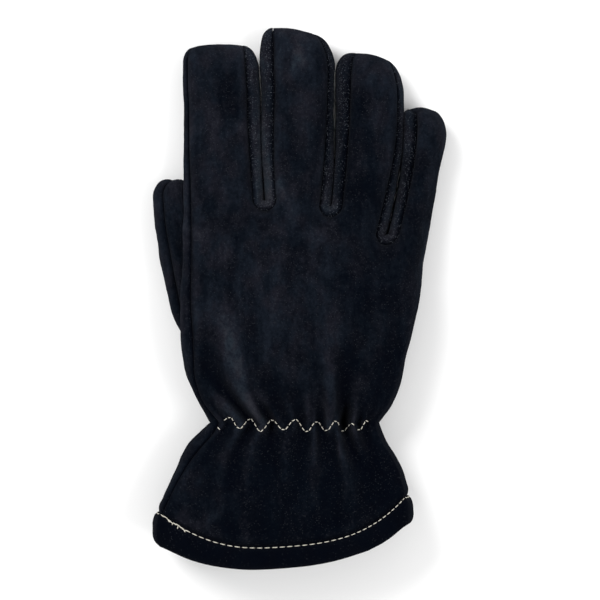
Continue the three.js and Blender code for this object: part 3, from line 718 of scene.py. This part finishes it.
def wall(points, normals, tris):
    """A panel of the skin as a closed wall, drawn back a little from its seams."""
    ids = np.unique(tris)
    place = np.full(len(points), -1)
    place[ids] = np.arange(len(ids))
    rim = rim_edges(tris)
    middles = points[tris].mean(axis=1)
    pull = np.zeros_like(points)
    for corner in range(3):
        np.add.at(pull, tris[:, corner], unit(middles - points[tris[:, corner]]))
    on_rim = np.zeros(len(points), bool)
    on_rim[rim.ravel()] = True
    pull = unit(pull - normals * np.sum(pull * normals, axis=1, keepdims=True))
    outer = (points + np.where(on_rim[:, None], pull * SEAM_PULL, 0))[ids]
    inner = outer - normals[ids] * WALL
    inner[:, 2] = np.maximum(inner[:, 2], LEAST_HEIGHT)
    n = len(ids)
    t = place[tris]
    p, q = place[rim[:, 0]], place[rim[:, 1]]
    first = (rim[:, 0] < rim[:, 1])[:, None]
    return np.concatenate([outer, inner]), np.concatenate([
        t, t[:, ::-1] + n,
        np.where(first, np.stack([q, p, q + n], 1), np.stack([q, p, p + n], 1)),
        np.where(first, np.stack([p, p + n, q + n], 1), np.stack([q, p + n, q + n], 1)),
    ])


def panel(name, points, normals, tris, painted_light_and_tone):
    """A closed wall that carries the painted light and shade of its outside, with its tone, as a
    value on its points.
    """
    piece = new_object(name, *wall(points, normals, tris))
    outside = painted_light_and_tone[np.unique(tris)]
    values = np.concatenate([outside, np.zeros(len(outside))])
    piece.data.attributes.new("painted_light_and_tone", "FLOAT", "POINT").data.foreach_set("value", values)
    return piece


def gap_painted_sheen(points):
    """Painted sheen on the leather in the gaps, strongest at their foot and on their upper half."""
    places = np.array([[ROOT_X[k], GAP_Y[k]] for k in (1, 2, 3)])
    gap = np.argmin(np.abs(points[:, :1] - places[None, :, 0]), axis=1)
    up = points[:, 1] - places[gap, 1]
    upper = smooth((points[:, 2] - GAP_SHEEN_FROM) / GAP_SHEEN_SPAN)
    return GAP_SHEEN * bell(up, 0, GAP_SHEEN_REACH) * upper


THUMB_RING = 64
THUMB_TIP_ROWS = 12
THUMB_BODY_ROWS = 84
BORE_FIRST_TURN = 0.06


def thumb_ring(y, opening, along, depth):
    """A squarish ring round the thumb, at a depth below its skin, from its upper seam on."""
    angles = QUARTER + THUMB_LEAN + 2 * np.pi * np.arange(THUMB_RING + 1) / THUMB_RING
    half = (THUMB_HALF * column(THUMB_ROWS, "half", along) - depth) * opening
    tall = (THUMB_HEIGHT / 2 * column(THUMB_ROWS, "tall", along) - depth) * opening
    x = THUMB_X + THUMB_SWEEP * column(THUMB_ROWS, "sweep", along)
    z = THUMB_HEIGHT * column(THUMB_ROWS, "middle", along)
    return np.stack([x + half * powered(np.cos(angles), THUMB_SQUARE),
                     np.full(len(angles), y),
                     z + tall * powered(np.sin(angles), THUMB_SQUARE)], 1)


def thumb_grid(depth, first_turn=0.0):
    """Rings round the thumb from its tip to its root."""
    body_start = THUMB_TIP_Y - THUMB_ROUND
    rings = []
    for t in range(THUMB_TIP_ROWS):
        turn = QUARTER * lerp(first_turn, 1, t / THUMB_TIP_ROWS)
        y = body_start + (THUMB_ROUND - depth) * math.cos(turn)
        rings.append(thumb_ring(y, math.sin(turn), 0, depth))
    for b in range(THUMB_BODY_ROWS + 1):
        share = b / THUMB_BODY_ROWS
        y = body_start - share * (THUMB_LENGTH - THUMB_ROUND)
        rings.append(thumb_ring(y, 1, share, depth))
    grid = np.array(rings)
    grid[:, -1] = grid[:, 0]
    return grid


def tube_faces(rings, count, base=0):
    """Faces of a tube of rings, closed by a flat face at both ends."""
    faces = []
    for r in range(rings - 1):
        near, far = base + r * count, base + (r + 1) * count
        for j in range(count):
            k = (j + 1) % count
            faces.append((near + j, near + k, far + k, far + j))
    last = base + (rings - 1) * count
    faces.append(tuple(base + j for j in range(count))[::-1])
    faces.append(tuple(last + j for j in range(count)))
    return faces


def cut(piece, cutter):
    """Take the cutter's solid out of the piece."""
    modifier = piece.modifiers.new("cut", "BOOLEAN")
    modifier.operation = "DIFFERENCE"
    modifier.object = cutter
    modifier.solver = "MANIFOLD"
    depsgraph = bpy.context.evaluated_depsgraph_get()
    result = bpy.data.meshes.new_from_object(piece.evaluated_get(depsgraph))
    piece.modifiers.clear()
    old, name = piece.data, piece.data.name
    piece.data = result
    bpy.data.meshes.remove(old)
    result.name = name


def turn_out(piece):
    """Make the faces point outwards."""
    bm = bmesh.new()
    bm.from_mesh(piece.data)
    bmesh.ops.recalc_face_normals(bm, faces=bm.faces)
    bm.to_mesh(piece.data)
    bm.free()


# The hand's leather
grids = build_grids()
skin = Skin()
back_grids = [grids["back_hand"], *grids["back_fingers"], grids["right"]]
palm_grids = [grids["palm_hand"], *grids["palm_fingers"], grids["left"]]
back_tris = np.concatenate([skin.faces(g, False) for g in back_grids])
palm_tris = np.concatenate([skin.faces(g, True) for g in palm_grids])
gusset_tris = [skin.faces(g, True) for g in grids["gussets"]]
all_tris = np.concatenate([back_tris, palm_tris] + gusset_tris)
skin_points = np.array(skin.points)
skin_near = neighbours(all_tris)
skin_folds = np.zeros(len(skin_points))
for row, folds in zip(grids["back_hand"].tolist(), grids["folds"]):
    skin_folds[[skin.weld(p) for p in row]] = folds
mouth_rim = rim_edges(all_tris)
seam_ids = np.unique(np.concatenate(
    [rim_edges(t).ravel() for t in [back_tris, palm_tris] + gusset_tris]))
seam_distance = nearest(skin_points, skin_points[seam_ids])
foot_distance = nearest(skin_points, grids["back_hand"][-1])
foot_share = bell(foot_distance, 0, FOOT_REACH) * smooth(seam_distance / FOOT_SEAM_REACH)
skin_points = evened_points(skin_points, skin_near, FOOT_PASSES, foot_share)
skin_normals = point_normals(skin_points, all_tris)
tip_distance = nearest(skin_points, np.concatenate([f[-1] for f in grids["back_fingers"]]))
rolled = TIP_ROLL + (1 - TIP_ROLL) * smooth(tip_distance / TIP_FADE)
skin_points = relief(skin_points, skin_normals, seam_distance, rolled)
gusset_ids = np.unique(np.concatenate(gusset_tris))
closing = GAP_CLOSE * smooth((seam_distance[gusset_ids] - GAP_CLOSE_FROM) / GAP_CLOSE_SPAN)
skin_points[gusset_ids] += skin_normals[gusset_ids] * closing[:, None]
# Painted light and shade on the hand's leather, with painted shade in the seams' grooves and a
# painted sheen in the finger gaps
skin_painted_light_and_tone = paint_light_and_tone(skin_points, skin_normals, skin_near, skin_folds)
skin_painted_light_and_tone -= SEAM_SHADE * rolled * bell(seam_distance, 0, SEAM_SHADE_REACH)
gusset_painted_light_and_tone = skin_painted_light_and_tone + gap_painted_sheen(skin_points)
gusset_painted_light_and_tone -= SEAM_SHADE * bell(seam_distance, 0, GUSSET_SHADE_REACH)

# The thumb's leather, in two panels
thumb_skin = Skin()
outer_thumb = thumb_grid(0.0)
half_ring = THUMB_RING // 2
front_tris = thumb_skin.faces(outer_thumb[:, :half_ring + 1], False)
upper_tris = thumb_skin.faces(outer_thumb[:, half_ring:], False)
thumb_tris = np.concatenate([front_tris, upper_tris])
thumb_points = np.array(thumb_skin.points)
thumb_normals = point_normals(thumb_points, thumb_tris)
thumb_seams = np.concatenate([outer_thumb[:, 0], outer_thumb[:, half_ring]])
thumb_points = relief(thumb_points, thumb_normals, nearest(thumb_points, thumb_seams), 1.0)
thumb_near = neighbours(thumb_tris)
# Painted light and shade on the thumb, and painted shade all over it, as it lies below the hand's
# edge
thumb_painted_light_and_tone = paint_light_and_tone(thumb_points, thumb_normals, thumb_near, np.zeros(len(thumb_points)))
thumb_painted_light_and_tone -= THUMB_SHADE

# Solids that cut the thumb and the palm where the thumb runs into the hand
ENVELOPE_GAP = 0.3
mouth_middle = skin_points[mouth_rim.ravel()].mean(axis=0)
envelope_points = np.concatenate([skin_points + skin_normals * ENVELOPE_GAP, mouth_middle[None, :]])
cap = [(int(q), int(p), len(envelope_points) - 1) for p, q in mouth_rim]
envelope = new_object("envelope", envelope_points, all_tris.tolist() + cap)
bore_rings = thumb_grid(WALL, BORE_FIRST_TURN)[:, :-1]
bore = new_object("bore", bore_rings.reshape(-1, 3), tube_faces(len(bore_rings), THUMB_RING))
turn_out(bore)

GAPS = ("index_middle", "middle_ring", "ring_little")
pieces = {}
pieces["back"] = panel("glove_back", skin_points, skin_normals, back_tris, skin_painted_light_and_tone)
pieces["palm"] = panel("glove_palm", skin_points, skin_normals, palm_tris, skin_painted_light_and_tone)
for name, tris in zip(GAPS, gusset_tris):
    pieces[name] = panel(f"glove_fourchette_{name}", skin_points, skin_normals, tris, gusset_painted_light_and_tone)
for name, tris in (("thumb_front", front_tris), ("thumb_back", upper_tris)):
    pieces[name] = panel(f"glove_{name}", thumb_points, thumb_normals, tris, thumb_painted_light_and_tone)
for name, cutter in (("palm", bore), ("thumb_front", envelope), ("thumb_back", envelope)):
    cut(pieces[name], cutter)
for extra in (envelope, bore):
    bpy.data.objects.remove(extra, do_unlink=True)


# The hem: its roll starts a little past the leather's edge, with an inner lip under that edge
HEM_AIM = 0.2
HEM_AIM_PASSES = 6
HEM_PROFILE = 28
HEM_START = 0.3
HEM_NOSE = 0.75
HEM_UPPER_SWELL = 1.5
HEM_SWELL = 0.9
HEM_TURN = 0.3
HEM_ROUNDING = 60
HEM_TONGUE = 2.4
HEM_TONGUE_AT = -0.55
HEM_TONGUE_SPAN = 0.3
HEM_END_FULLNESS = 3.0
HEM_END_FROM = 0.45
HEM_END_SPAN = 0.45
# Height, size and seed of its unevenness
HEM_UNEVEN = [(0.35, 7, 5), (0.15, 3, 6)]


def hem_frames():
    """Points of the mouth's edge all round, with the leather's way on, down and out."""
    def ring(r):
        return np.concatenate([grids["back_hand"][r], grids["right"][r][1:-1],
                               grids["palm_hand"][r][::-1], grids["left"][r][1:-1][::-1]])

    edge = ring(0)
    onward = evened_ring(unit(edge - ring(round(CUFF_STEPS * HEM_AIM))), HEM_AIM_PASSES)
    down = unit(onward * np.array([0.0, 1.0, 1.0]))
    ahead = np.roll(edge, -1, axis=0) - np.roll(edge, 1, axis=0)
    return edge, onward, down, unit(np.cross(down, ahead))


hem_edge, hem_onward, hem_down, hem_out = hem_frames()


def hem_piece():
    """The rolled hem: a rounded profile carried round the mouth's edge."""
    turns = np.linspace(0, 2 * np.pi, HEM_PROFILE, endpoint=False)
    half_thick = HEM_THICK / 2
    cosine, sine = np.cos(turns), np.sin(turns)
    x = hem_edge[:, 0]
    aside = np.where(x < 0, x / CUFF_LEFT, x / CUFF_RIGHT)
    width = lerp(HEM_LEFT_WIDTH, HEM_WIDTH, smooth(1 - x / CUFF_LEFT))
    width += HEM_END_FULLNESS * smooth((aside - HEM_END_FROM) / HEM_END_SPAN)
    width = width[:, None]
    along = HEM_START + (width - HEM_START) / 2 * (1 - powered(cosine, HEM_NOSE))[None, :]
    swell = np.where((cosine > 0) & (sine > 0), HEM_UPPER_SWELL, HEM_SWELL)
    proud = HEM_PROUD - half_thick + half_thick * powered(sine, swell)
    signed = (turns + np.pi) % (2 * np.pi) - np.pi
    along -= HEM_TONGUE * bell(signed, HEM_TONGUE_AT, HEM_TONGUE_SPAN)[None, :]
    start = (1 - smooth(along / (HEM_TURN * HEM_WIDTH)))[:, :, None]
    ways = hem_onward[:, None, :] * start + hem_down[:, None, :] * (1 - start)
    rings = (hem_edge[:, None, :] + ways * along[:, :, None]
             + hem_out[:, None, :] * proud[None, :, None])
    soft = evened_ring(rings[:, :, 1], HEM_ROUNDING)
    rings[:, :, 1] = lerp(rings[:, :, 1], soft, smooth(np.maximum(along, 0) / width))
    flat = rings.reshape(-1, 3)
    uneven = sum(height * noise(flat, size, seed) for height, size, seed in HEM_UNEVEN)
    outward = hem_out[:, None, :] * sine[None, :, None]
    flat = flat + outward.reshape(-1, 3) * uneven[:, None]
    flat[:, 2] = np.maximum(flat[:, 2], 0.0)
    faces = []
    for r in range(len(hem_edge)):
        near, far = r * HEM_PROFILE, (r + 1) % len(hem_edge) * HEM_PROFILE
        for j in range(HEM_PROFILE):
            k = (j + 1) % HEM_PROFILE
            faces.append((near + j, far + j, far + k, near + k))
    piece = new_object("glove_cuff_hem", flat, faces)
    turn_out(piece)
    return piece


pieces["hem"] = hem_piece()

# Thread: short bowed stitches, thinner at their ends, which lie a little in the leather
THREAD_RADIUS = 0.25
THREAD_SIDES = 8
THREAD_RINGS = 7
THREAD_END = 0.35
THREAD_TAPER = 0.4
STITCH_BOW = 0.45
STITCH_SINK = 0.25
STITCH_ROUNDNESS = 0.6


def travel(path):
    """How far along a path each of its points lies."""
    steps = np.linalg.norm(np.diff(path, axis=0), axis=1)
    return np.concatenate([[0], np.cumsum(steps)])


def at_place(values, travelled, place):
    return np.stack([np.interp(place, travelled, values[:, k]) for k in range(3)], -1)


def resample(path, pitch):
    """Points at an even pitch along a path."""
    travelled = travel(path)
    count = max(2, int(round(travelled[-1] / pitch)) + 1)
    return at_place(path, travelled, np.linspace(0, travelled[-1], count))


def stitch_mesh(name, stitches):
    """Stitches as short bowed tubes; each is (start, end, out)."""
    points, faces = [], []
    for start, end, out in stitches:
        base = len(points)
        along = end - start
        length = np.linalg.norm(along)
        along = along / length
        side = np.cross(out, along)
        side /= np.linalg.norm(side)
        up = np.cross(along, side)
        for r in range(THREAD_RINGS):
            t = r / (THREAD_RINGS - 1)
            bow = math.sin(math.pi * t)
            radius = THREAD_RADIUS * (THREAD_END + (1 - THREAD_END) * bow ** THREAD_TAPER)
            rise = STITCH_BOW * bow ** STITCH_ROUNDNESS - STITCH_SINK
            middle = start + along * length * t + up * rise
            for s in range(THREAD_SIDES):
                a = 2 * math.pi * s / THREAD_SIDES
                points.append(middle + side * radius * math.cos(a) + up * radius * math.sin(a))
        faces += tube_faces(THREAD_RINGS, THREAD_SIDES, base)
    piece = new_object(name, points, faces)
    turn_out(piece)
    return piece


# Where the zig-zag turns, in pixels from the left and top edge of the photograph
PIXEL = 0.5535
PHOTO_SIZE = 600
PHOTO_MIDDLE = (299.0, 296.5)
ZIGZAG = [(223.6, 421), (230, 416), (238.9, 429.6), (250.2, 418.2), (260.4, 431.8), (272.2, 419),
          (283.6, 430.9), (295, 418.4), (306.8, 433), (316.5, 420.3), (326, 432), (335.7, 419.3),
          (343, 433.4), (352.5, 422.4), (359.2, 432), (366.8, 419.8), (369.6, 422.5)]
ZIGZAG_STITCH = 2.9
ZIGZAG_SHARE = 0.8
ZIGZAG_NEARER = 0.992
ZIGZAG_STRAIGHT = 0.35
LEG_STEPS = 12
# To the right of this pixel only the stitches near a turn show between the folds
ZIGZAG_HIDDEN_FROM = 339
ZIGZAG_HIDDEN_REACH = 2.7
LONE_STITCH = [(-44.9, -71.9), (-43.4, -73.6)]
RAY_HEIGHT = 200

# The row above the hem: its pitch, its place on the hem, and the doubled and loose ends
HEM_STITCH = 4.1
HEM_LAST_STITCH = 2.9
HEM_SHARE = 0.76
HEM_LINE_ON = 0.4
HEM_LINE_SUNK = 0.15
HEM_LINE_LOWEST = 1.0
HEM_ENDS = 17
DOUBLE_AT = 0.45
DOUBLE_ASIDE = 0.35
DOUBLE_PROUD = 0.2
LOOSE_ENDS = 4
LOOSE_AT = 0.3
LOOSE_PITCH = 0.2

back_surface = BVHTree.FromObject(pieces["back"], bpy.context.evaluated_depsgraph_get())


def on_back(x, y):
    """Point and normal of the back's leather, seen from above."""
    above = Vector((x * MM, y * MM, RAY_HEIGHT * MM))
    hit, normal, _, _ = back_surface.ray_cast(above, Vector((0, 0, -1)))
    return np.array(hit) / MM, np.array(normal)


def zigzag_stitches():
    """Rounded turns at one side of the gathers and the other, in stitches of even length."""
    middle_x, middle_y = PHOTO_MIDDLE
    turns = np.array([[(x - middle_x) * PIXEL, (middle_y - y) * PIXEL, 0] for x, y in ZIGZAG])
    turns *= ZIGZAG_NEARER
    hidden_from = (ZIGZAG_HIDDEN_FROM - middle_x) * PIXEL
    t = np.linspace(0, 1, LEG_STEPS + 1)[:-1, None]
    bent = ZIGZAG_STRAIGHT * t + (1 - ZIGZAG_STRAIGHT) * smooth(t)
    ways = np.concatenate([t, bent, t], 1)
    legs = [a + (b - a) * ways for a, b in zip(turns[:-1], turns[1:])]
    path = resample(np.concatenate(legs + [turns[-1:]]), ZIGZAG_STITCH)
    stitches = []
    for p, q in list(zip(path[:-1], path[1:])) + [LONE_STITCH]:
        q = lerp(np.array(p), np.array(q), ZIGZAG_SHARE)
        (start, out_a), (end, out_b) = on_back(p[0], p[1]), on_back(q[0], q[1])
        middle, _ = on_back((p[0] + q[0]) / 2, (p[1] + q[1]) / 2)
        turn_distance = np.linalg.norm(turns[:, :2] - middle[:2], axis=1).min()
        if middle[0] > hidden_from and turn_distance > ZIGZAG_HIDDEN_REACH:
            continue
        lift = np.array([0, 0, max(middle[2] - (start[2] + end[2]) / 2, 0)])
        stitches.append((start + lift, end + lift, out_a + out_b))
    return stitches


def hem_stitches():
    """One row of stitches round the hem; where the row closes, it runs over itself."""
    line = hem_edge + hem_down * HEM_LINE_ON - hem_out * HEM_LINE_SUNK
    closed = np.concatenate([line, line[:1]])
    outs = np.concatenate([hem_out, hem_out[:1]])
    travelled = travel(closed)

    def stitch(first, last, aside=(0, 0, 0)):
        start, end = (at_place(closed, travelled, place) + aside for place in (first, last))
        return start, end, at_place(outs, travelled, first)

    stitches, place = [], 0.0
    while place < travelled[-1] - HEM_STITCH:
        right = at_place(closed, travelled, place)[0] / CUFF_RIGHT
        pitch = lerp(HEM_STITCH, HEM_LAST_STITCH, smooth(right))
        one = stitch(place, place + pitch * HEM_SHARE)
        if one[0][2] > HEM_LINE_LOWEST:
            stitches.append(one)
        place += pitch
    for s in range(int(HEM_ENDS / HEM_STITCH)):
        first = (s + DOUBLE_AT) * HEM_STITCH
        last = (s + DOUBLE_AT + HEM_SHARE) * HEM_STITCH
        stitches.append(stitch(first, last, (0, DOUBLE_ASIDE * (-1) ** s, DOUBLE_PROUD)))
    for s in range(LOOSE_ENDS):
        start, _, out = stitch(*[HEM_ENDS * (LOOSE_AT + LOOSE_PITCH * s)] * 2)
        away = np.array([0.9 * math.cos(2.1 * s), -1.3 + 0.4 * math.sin(1.7 * s), 1.3])
        stitches.append((start, start + away, out))
    return stitches


pieces["zigzag"] = stitch_mesh("thread_wrist_zigzag", zigzag_stitches())
pieces["hem_thread"] = stitch_mesh("thread_hem", hem_stitches())


# Materials
def new_material(name):
    """An empty node material, and a function that makes nodes in it."""
    material = bpy.data.materials.new(name)
    material.use_nodes = True
    tree = material.node_tree
    tree.nodes.clear()

    def make(kind, inputs, **settings):
        """A node from its inputs, each a plain value or the output of another node."""
        node = tree.nodes.new(kind)
        for key, value in settings.items():
            setattr(node, key, value)
        for key, value in inputs.items():
            if isinstance(value, bpy.types.NodeSocket):
                tree.links.new(value, node.inputs[key])
            else:
                node.inputs[key].default_value = value
        return node

    return material, make


def ramp(make, value, stops):
    """The colour of a value, by stops that are each a position and a colour."""
    node = make("ShaderNodeValToRGB", {"Fac": value})
    elements = node.color_ramp.elements
    while len(elements) < len(stops):
        elements.new(0.5)
    for element, (position, color) in zip(elements, stops):
        element.position = position
        element.color = (*color, 1)
    return node.outputs["Color"]


def add_up(make, total, parts):
    """A sum of values, each with a share of its own."""
    for value, share in parts:
        node = make("ShaderNodeMath", {0: value, 1: share, 2: total}, operation="MULTIPLY_ADD")
        total = node.outputs[0]
    return total


def finish(make, color, height, strength, distance, values):
    """Bump and shader, from a colour, a height and plain values by socket."""
    bump = make("ShaderNodeBump", {"Height": height, "Strength": strength, "Distance": distance})
    shader = make("ShaderNodeBsdfPrincipled",
                  {"Base Color": color, "Normal": bump.outputs["Normal"], **values})
    make("ShaderNodeOutputMaterial", {"Surface": shader.outputs["BSDF"]})


# How much each layer of the nap, whose values lie round 0.5, adds to its tone and its height
TONE_SHARES = dict(patches=0.8, streaks=0.4, grain=0.6, fibres=0.35)
# Share of the points' painted light and shade, with their tone, in the nap's tone
LIGHT_AND_TONE_SHARE = 0.4
HEIGHT_SHARES = dict(grain=1.6, fibres=0.9, streaks=0.8)
CAST = [(0.4, (0.8, 1.02, 1.08)), (0.6, (1.0, 0.98, 0.99))]
# Specks crowd where the hue's noise is high
CROWDING = 0.9
CROWD_MOST = 1 + CROWDING
SPECK_FROM = 1.45
SPECK_FULL = 1.55
SPECK_BLUR = 0.3
CELL_SCALE = 1450.0
BLACK, WHITE = (0, 0, 0), (1, 1, 1)


def suede(name, tones, speck, speck_share, nap=1.0):
    """Brushed split leather: mottled and streaked nap, the points' painted light and shade, and
    light fibre ends.
    """
    material, make = new_material(name)
    place = make("ShaderNodeTexCoord", {}).outputs["Object"]
    # The points' painted light and shade, with their tone
    painted_light_and_tone = make("ShaderNodeAttribute", {}, attribute_name="painted_light_and_tone").outputs["Fac"]

    def layer(stretch, scale, detail, roughness, distortion=0.0):
        mapping = make("ShaderNodeMapping", {"Vector": place, "Scale": (1, stretch, 1)})
        node = make("ShaderNodeTexNoise", {
            "Vector": mapping.outputs["Vector"], "Scale": scale, "Detail": detail,
            "Roughness": roughness, "Distortion": distortion})
        return node.outputs["Fac"]

    layers = dict(patches=layer(0.6, 48.0, 3.0, 0.55, 0.7), streaks=layer(0.2, 170.0, 3.0, 0.6),
                  grain=layer(0.8, 520.0, 4.0, 0.7), fibres=layer(1.0, 2300.0, 2.0, 0.7))
    hue = layer(0.7, 110.0, 2.0, 0.5)
    parts = [(layers[key], share) for key, share in TONE_SHARES.items()] + [(painted_light_and_tone, LIGHT_AND_TONE_SHARE)]
    tone = add_up(make, 0.5 - 0.5 * sum(TONE_SHARES.values()), parts)
    tinted = make("ShaderNodeMix",
                  {"Factor": 1.0, "A": ramp(make, tone, tones), "B": ramp(make, hue, CAST)},
                  data_type="RGBA", blend_type="MULTIPLY")

    cells = make("ShaderNodeTexVoronoi", {"Vector": place, "Scale": CELL_SCALE})
    near = ramp(make, cells.outputs["Distance"], [(0.12, WHITE), (0.34, BLACK)])
    split = make("ShaderNodeSeparateColor", {"Color": cells.outputs["Color"]})
    crowd = add_up(make, 0.0, [(split.outputs["Red"], 1 / CROWD_MOST),
                               (hue, CROWDING / CROWD_MOST)])
    chosen = ramp(make, crowd, [((SPECK_FROM - speck_share) / CROWD_MOST, BLACK),
                                ((SPECK_FULL - SPECK_BLUR * speck_share) / CROWD_MOST, WHITE)])
    specks = make("ShaderNodeMath", {0: near, 1: chosen}, operation="MULTIPLY")
    mixed = make("ShaderNodeMix", {"Factor": specks.outputs[0], "A": tinted.outputs["Result"],
                                   "B": (*speck, 1)}, data_type="RGBA")
    height = add_up(make, 0.0, [(layers[key], share) for key, share in HEIGHT_SHARES.items()])
    finish(make, mixed.outputs["Result"], height, 0.6 * nap, 0.0005,
           {"Roughness": 0.95, "Specular IOR Level": 0.0, "Sheen Weight": 0.02,
            "Sheen Roughness": 0.6, "Sheen Tint": (0.75, 0.8, 0.95, 1)})
    return material


def thread_material():
    """Off-white cotton, a little darker between its fibres."""
    material, make = new_material("off_white_thread")
    place = make("ShaderNodeTexCoord", {}).outputs["Object"]
    fuzz = make("ShaderNodeTexNoise", {"Vector": place, "Scale": 1800.0, "Detail": 3.0,
                                       "Roughness": 0.6}).outputs["Fac"]
    tone = ramp(make, fuzz, [(0.3, (0.36, 0.33, 0.27)), (0.7, (0.72, 0.69, 0.6))])
    finish(make, tone, fuzz, 0.5, 0.0002, {"Roughness": 0.8, "Sheen Weight": 0.2})
    return material


# Tones of the nap from dark to light; the lightest show where the nap is light and where folds and
# raised edges are painted lit
NAVY = (0.0004, 0.0008, 0.0024)
INK = (0.0010, 0.0016, 0.0034)
SLATE = (0.0031, 0.0038, 0.0062)
ASH = (0.0080, 0.0086, 0.0128)
SMOKE = (0.0210, 0.0225, 0.0285)
PALE = (0.0300, 0.0330, 0.0390)
# Brighter, crowded specks on the fourchettes: light fibre ends and painted glints of their sheen
GUSSET_FIBRES_AND_GLINTS = tuple(3.4 * c for c in PALE)
leather = suede("black_suede", [(0.12, NAVY), (0.36, INK), (0.52, SLATE), (0.74, ASH), (1.0, SMOKE)],
                PALE, 0.36)
gusset_leather = suede("black_suede_gusset",
                       [(0.12, NAVY), (0.32, INK), (0.48, SLATE), (0.68, ASH), (0.92, SMOKE)],
                       GUSSET_FIBRES_AND_GLINTS, 0.7, nap=1.8)
# The hem is darker: partly its own darker band of leather, partly painted shade of the light
# falling off towards the cuff's mouth
hem_leather = suede("black_suede_hem", [(0.3, NAVY), (0.75, INK), (1.0, SLATE)], PALE, 0.16)
thread = thread_material()

NODES = {
    "back": ("back_panel", leather, "leather"),
    "palm": ("palm_panel", leather, "leather"),
    "thumb_front": ("thumb_front", leather, "leather"),
    "thumb_back": ("thumb_back", leather, "leather"),
    "hem": ("cuff_hem", hem_leather, "leather"),
    "zigzag": (None, thread, "thread"),
    "hem_thread": (None, thread, "thread"),
}
for gap in GAPS:
    NODES[gap] = (f"fourchette_{gap}", gusset_leather, "gusset_leather")
for key, piece in pieces.items():
    node, material, slot = NODES[key]
    piece.data.materials.clear()
    piece.data.materials.append(material)
    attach(piece, "root")
    if node:
        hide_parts(node)


# Stage, light and camera: the floor in millimetres, the rest in metres
FLOOR_HALF = 3000
FLOOR_DROP = 0.2
WORLD_STRENGTH = 0.75
CAMERA_HEIGHT = 1.4
SUBJECT_HEIGHT = 0.022
SENSOR = 36


def area_light(name, place, size, power):
    """A square light that aims at the middle of the floor."""
    data = bpy.data.lights.new(name, "AREA")
    data.shape = "SQUARE"
    data.size = size
    data.energy = power
    lamp = added(name, data)
    lamp.location = place
    lamp.rotation_euler = (-Vector(place)).to_track_quat("-Z", "Y").to_euler()


def build_stage():
    """A pale floor under soft light."""
    corners = [(-1, -1, 0), (1, -1, 0), (1, 1, 0), (-1, 1, 0)]
    floor = new_object("floor", np.array(corners) * FLOOR_HALF, [(0, 1, 2, 3)])
    floor.location.z = -FLOOR_DROP * MM
    material = bpy.data.materials.new("pale_floor")
    material.use_nodes = True
    shader = material.node_tree.nodes["Principled BSDF"]
    shader.inputs["Base Color"].default_value = (0.92, 0.92, 0.92, 1)
    shader.inputs["Roughness"].default_value = 0.9
    shader.inputs["Specular IOR Level"].default_value = 0.1
    floor.data.materials.append(material)
    world = bpy.data.worlds.new("studio")
    world.use_nodes = True
    background = world.node_tree.nodes["Background"]
    background.inputs["Color"].default_value = (1, 1, 1, 1)
    background.inputs["Strength"].default_value = WORLD_STRENGTH
    bpy.context.scene.world = world
    area_light("key", (-0.9, 0.9, 1.3), 0.8, 22)
    area_light("fill", (1.1, -0.3, 1.2), 0.9, 12)
    bpy.context.scene.view_settings.view_transform = "Standard"


def build_camera():
    """Straight down on the glove, with the photograph's framing."""
    data = bpy.data.cameras.new("camera")
    camera = added("camera", data)
    data.sensor_width = SENSOR
    data.lens = SENSOR * (CAMERA_HEIGHT - SUBJECT_HEIGHT) / (PHOTO_SIZE * PIXEL * MM)
    data.clip_end = 10
    centre, scale = PHOTO_SIZE / 2, PIXEL * MM
    camera.location = ((centre - PHOTO_MIDDLE[0]) * scale, (PHOTO_MIDDLE[1] - centre) * scale,
                       CAMERA_HEIGHT)
    camera.rotation_euler = (0, 0, 0)
    bpy.context.scene.camera = camera


build_stage()
build_camera()
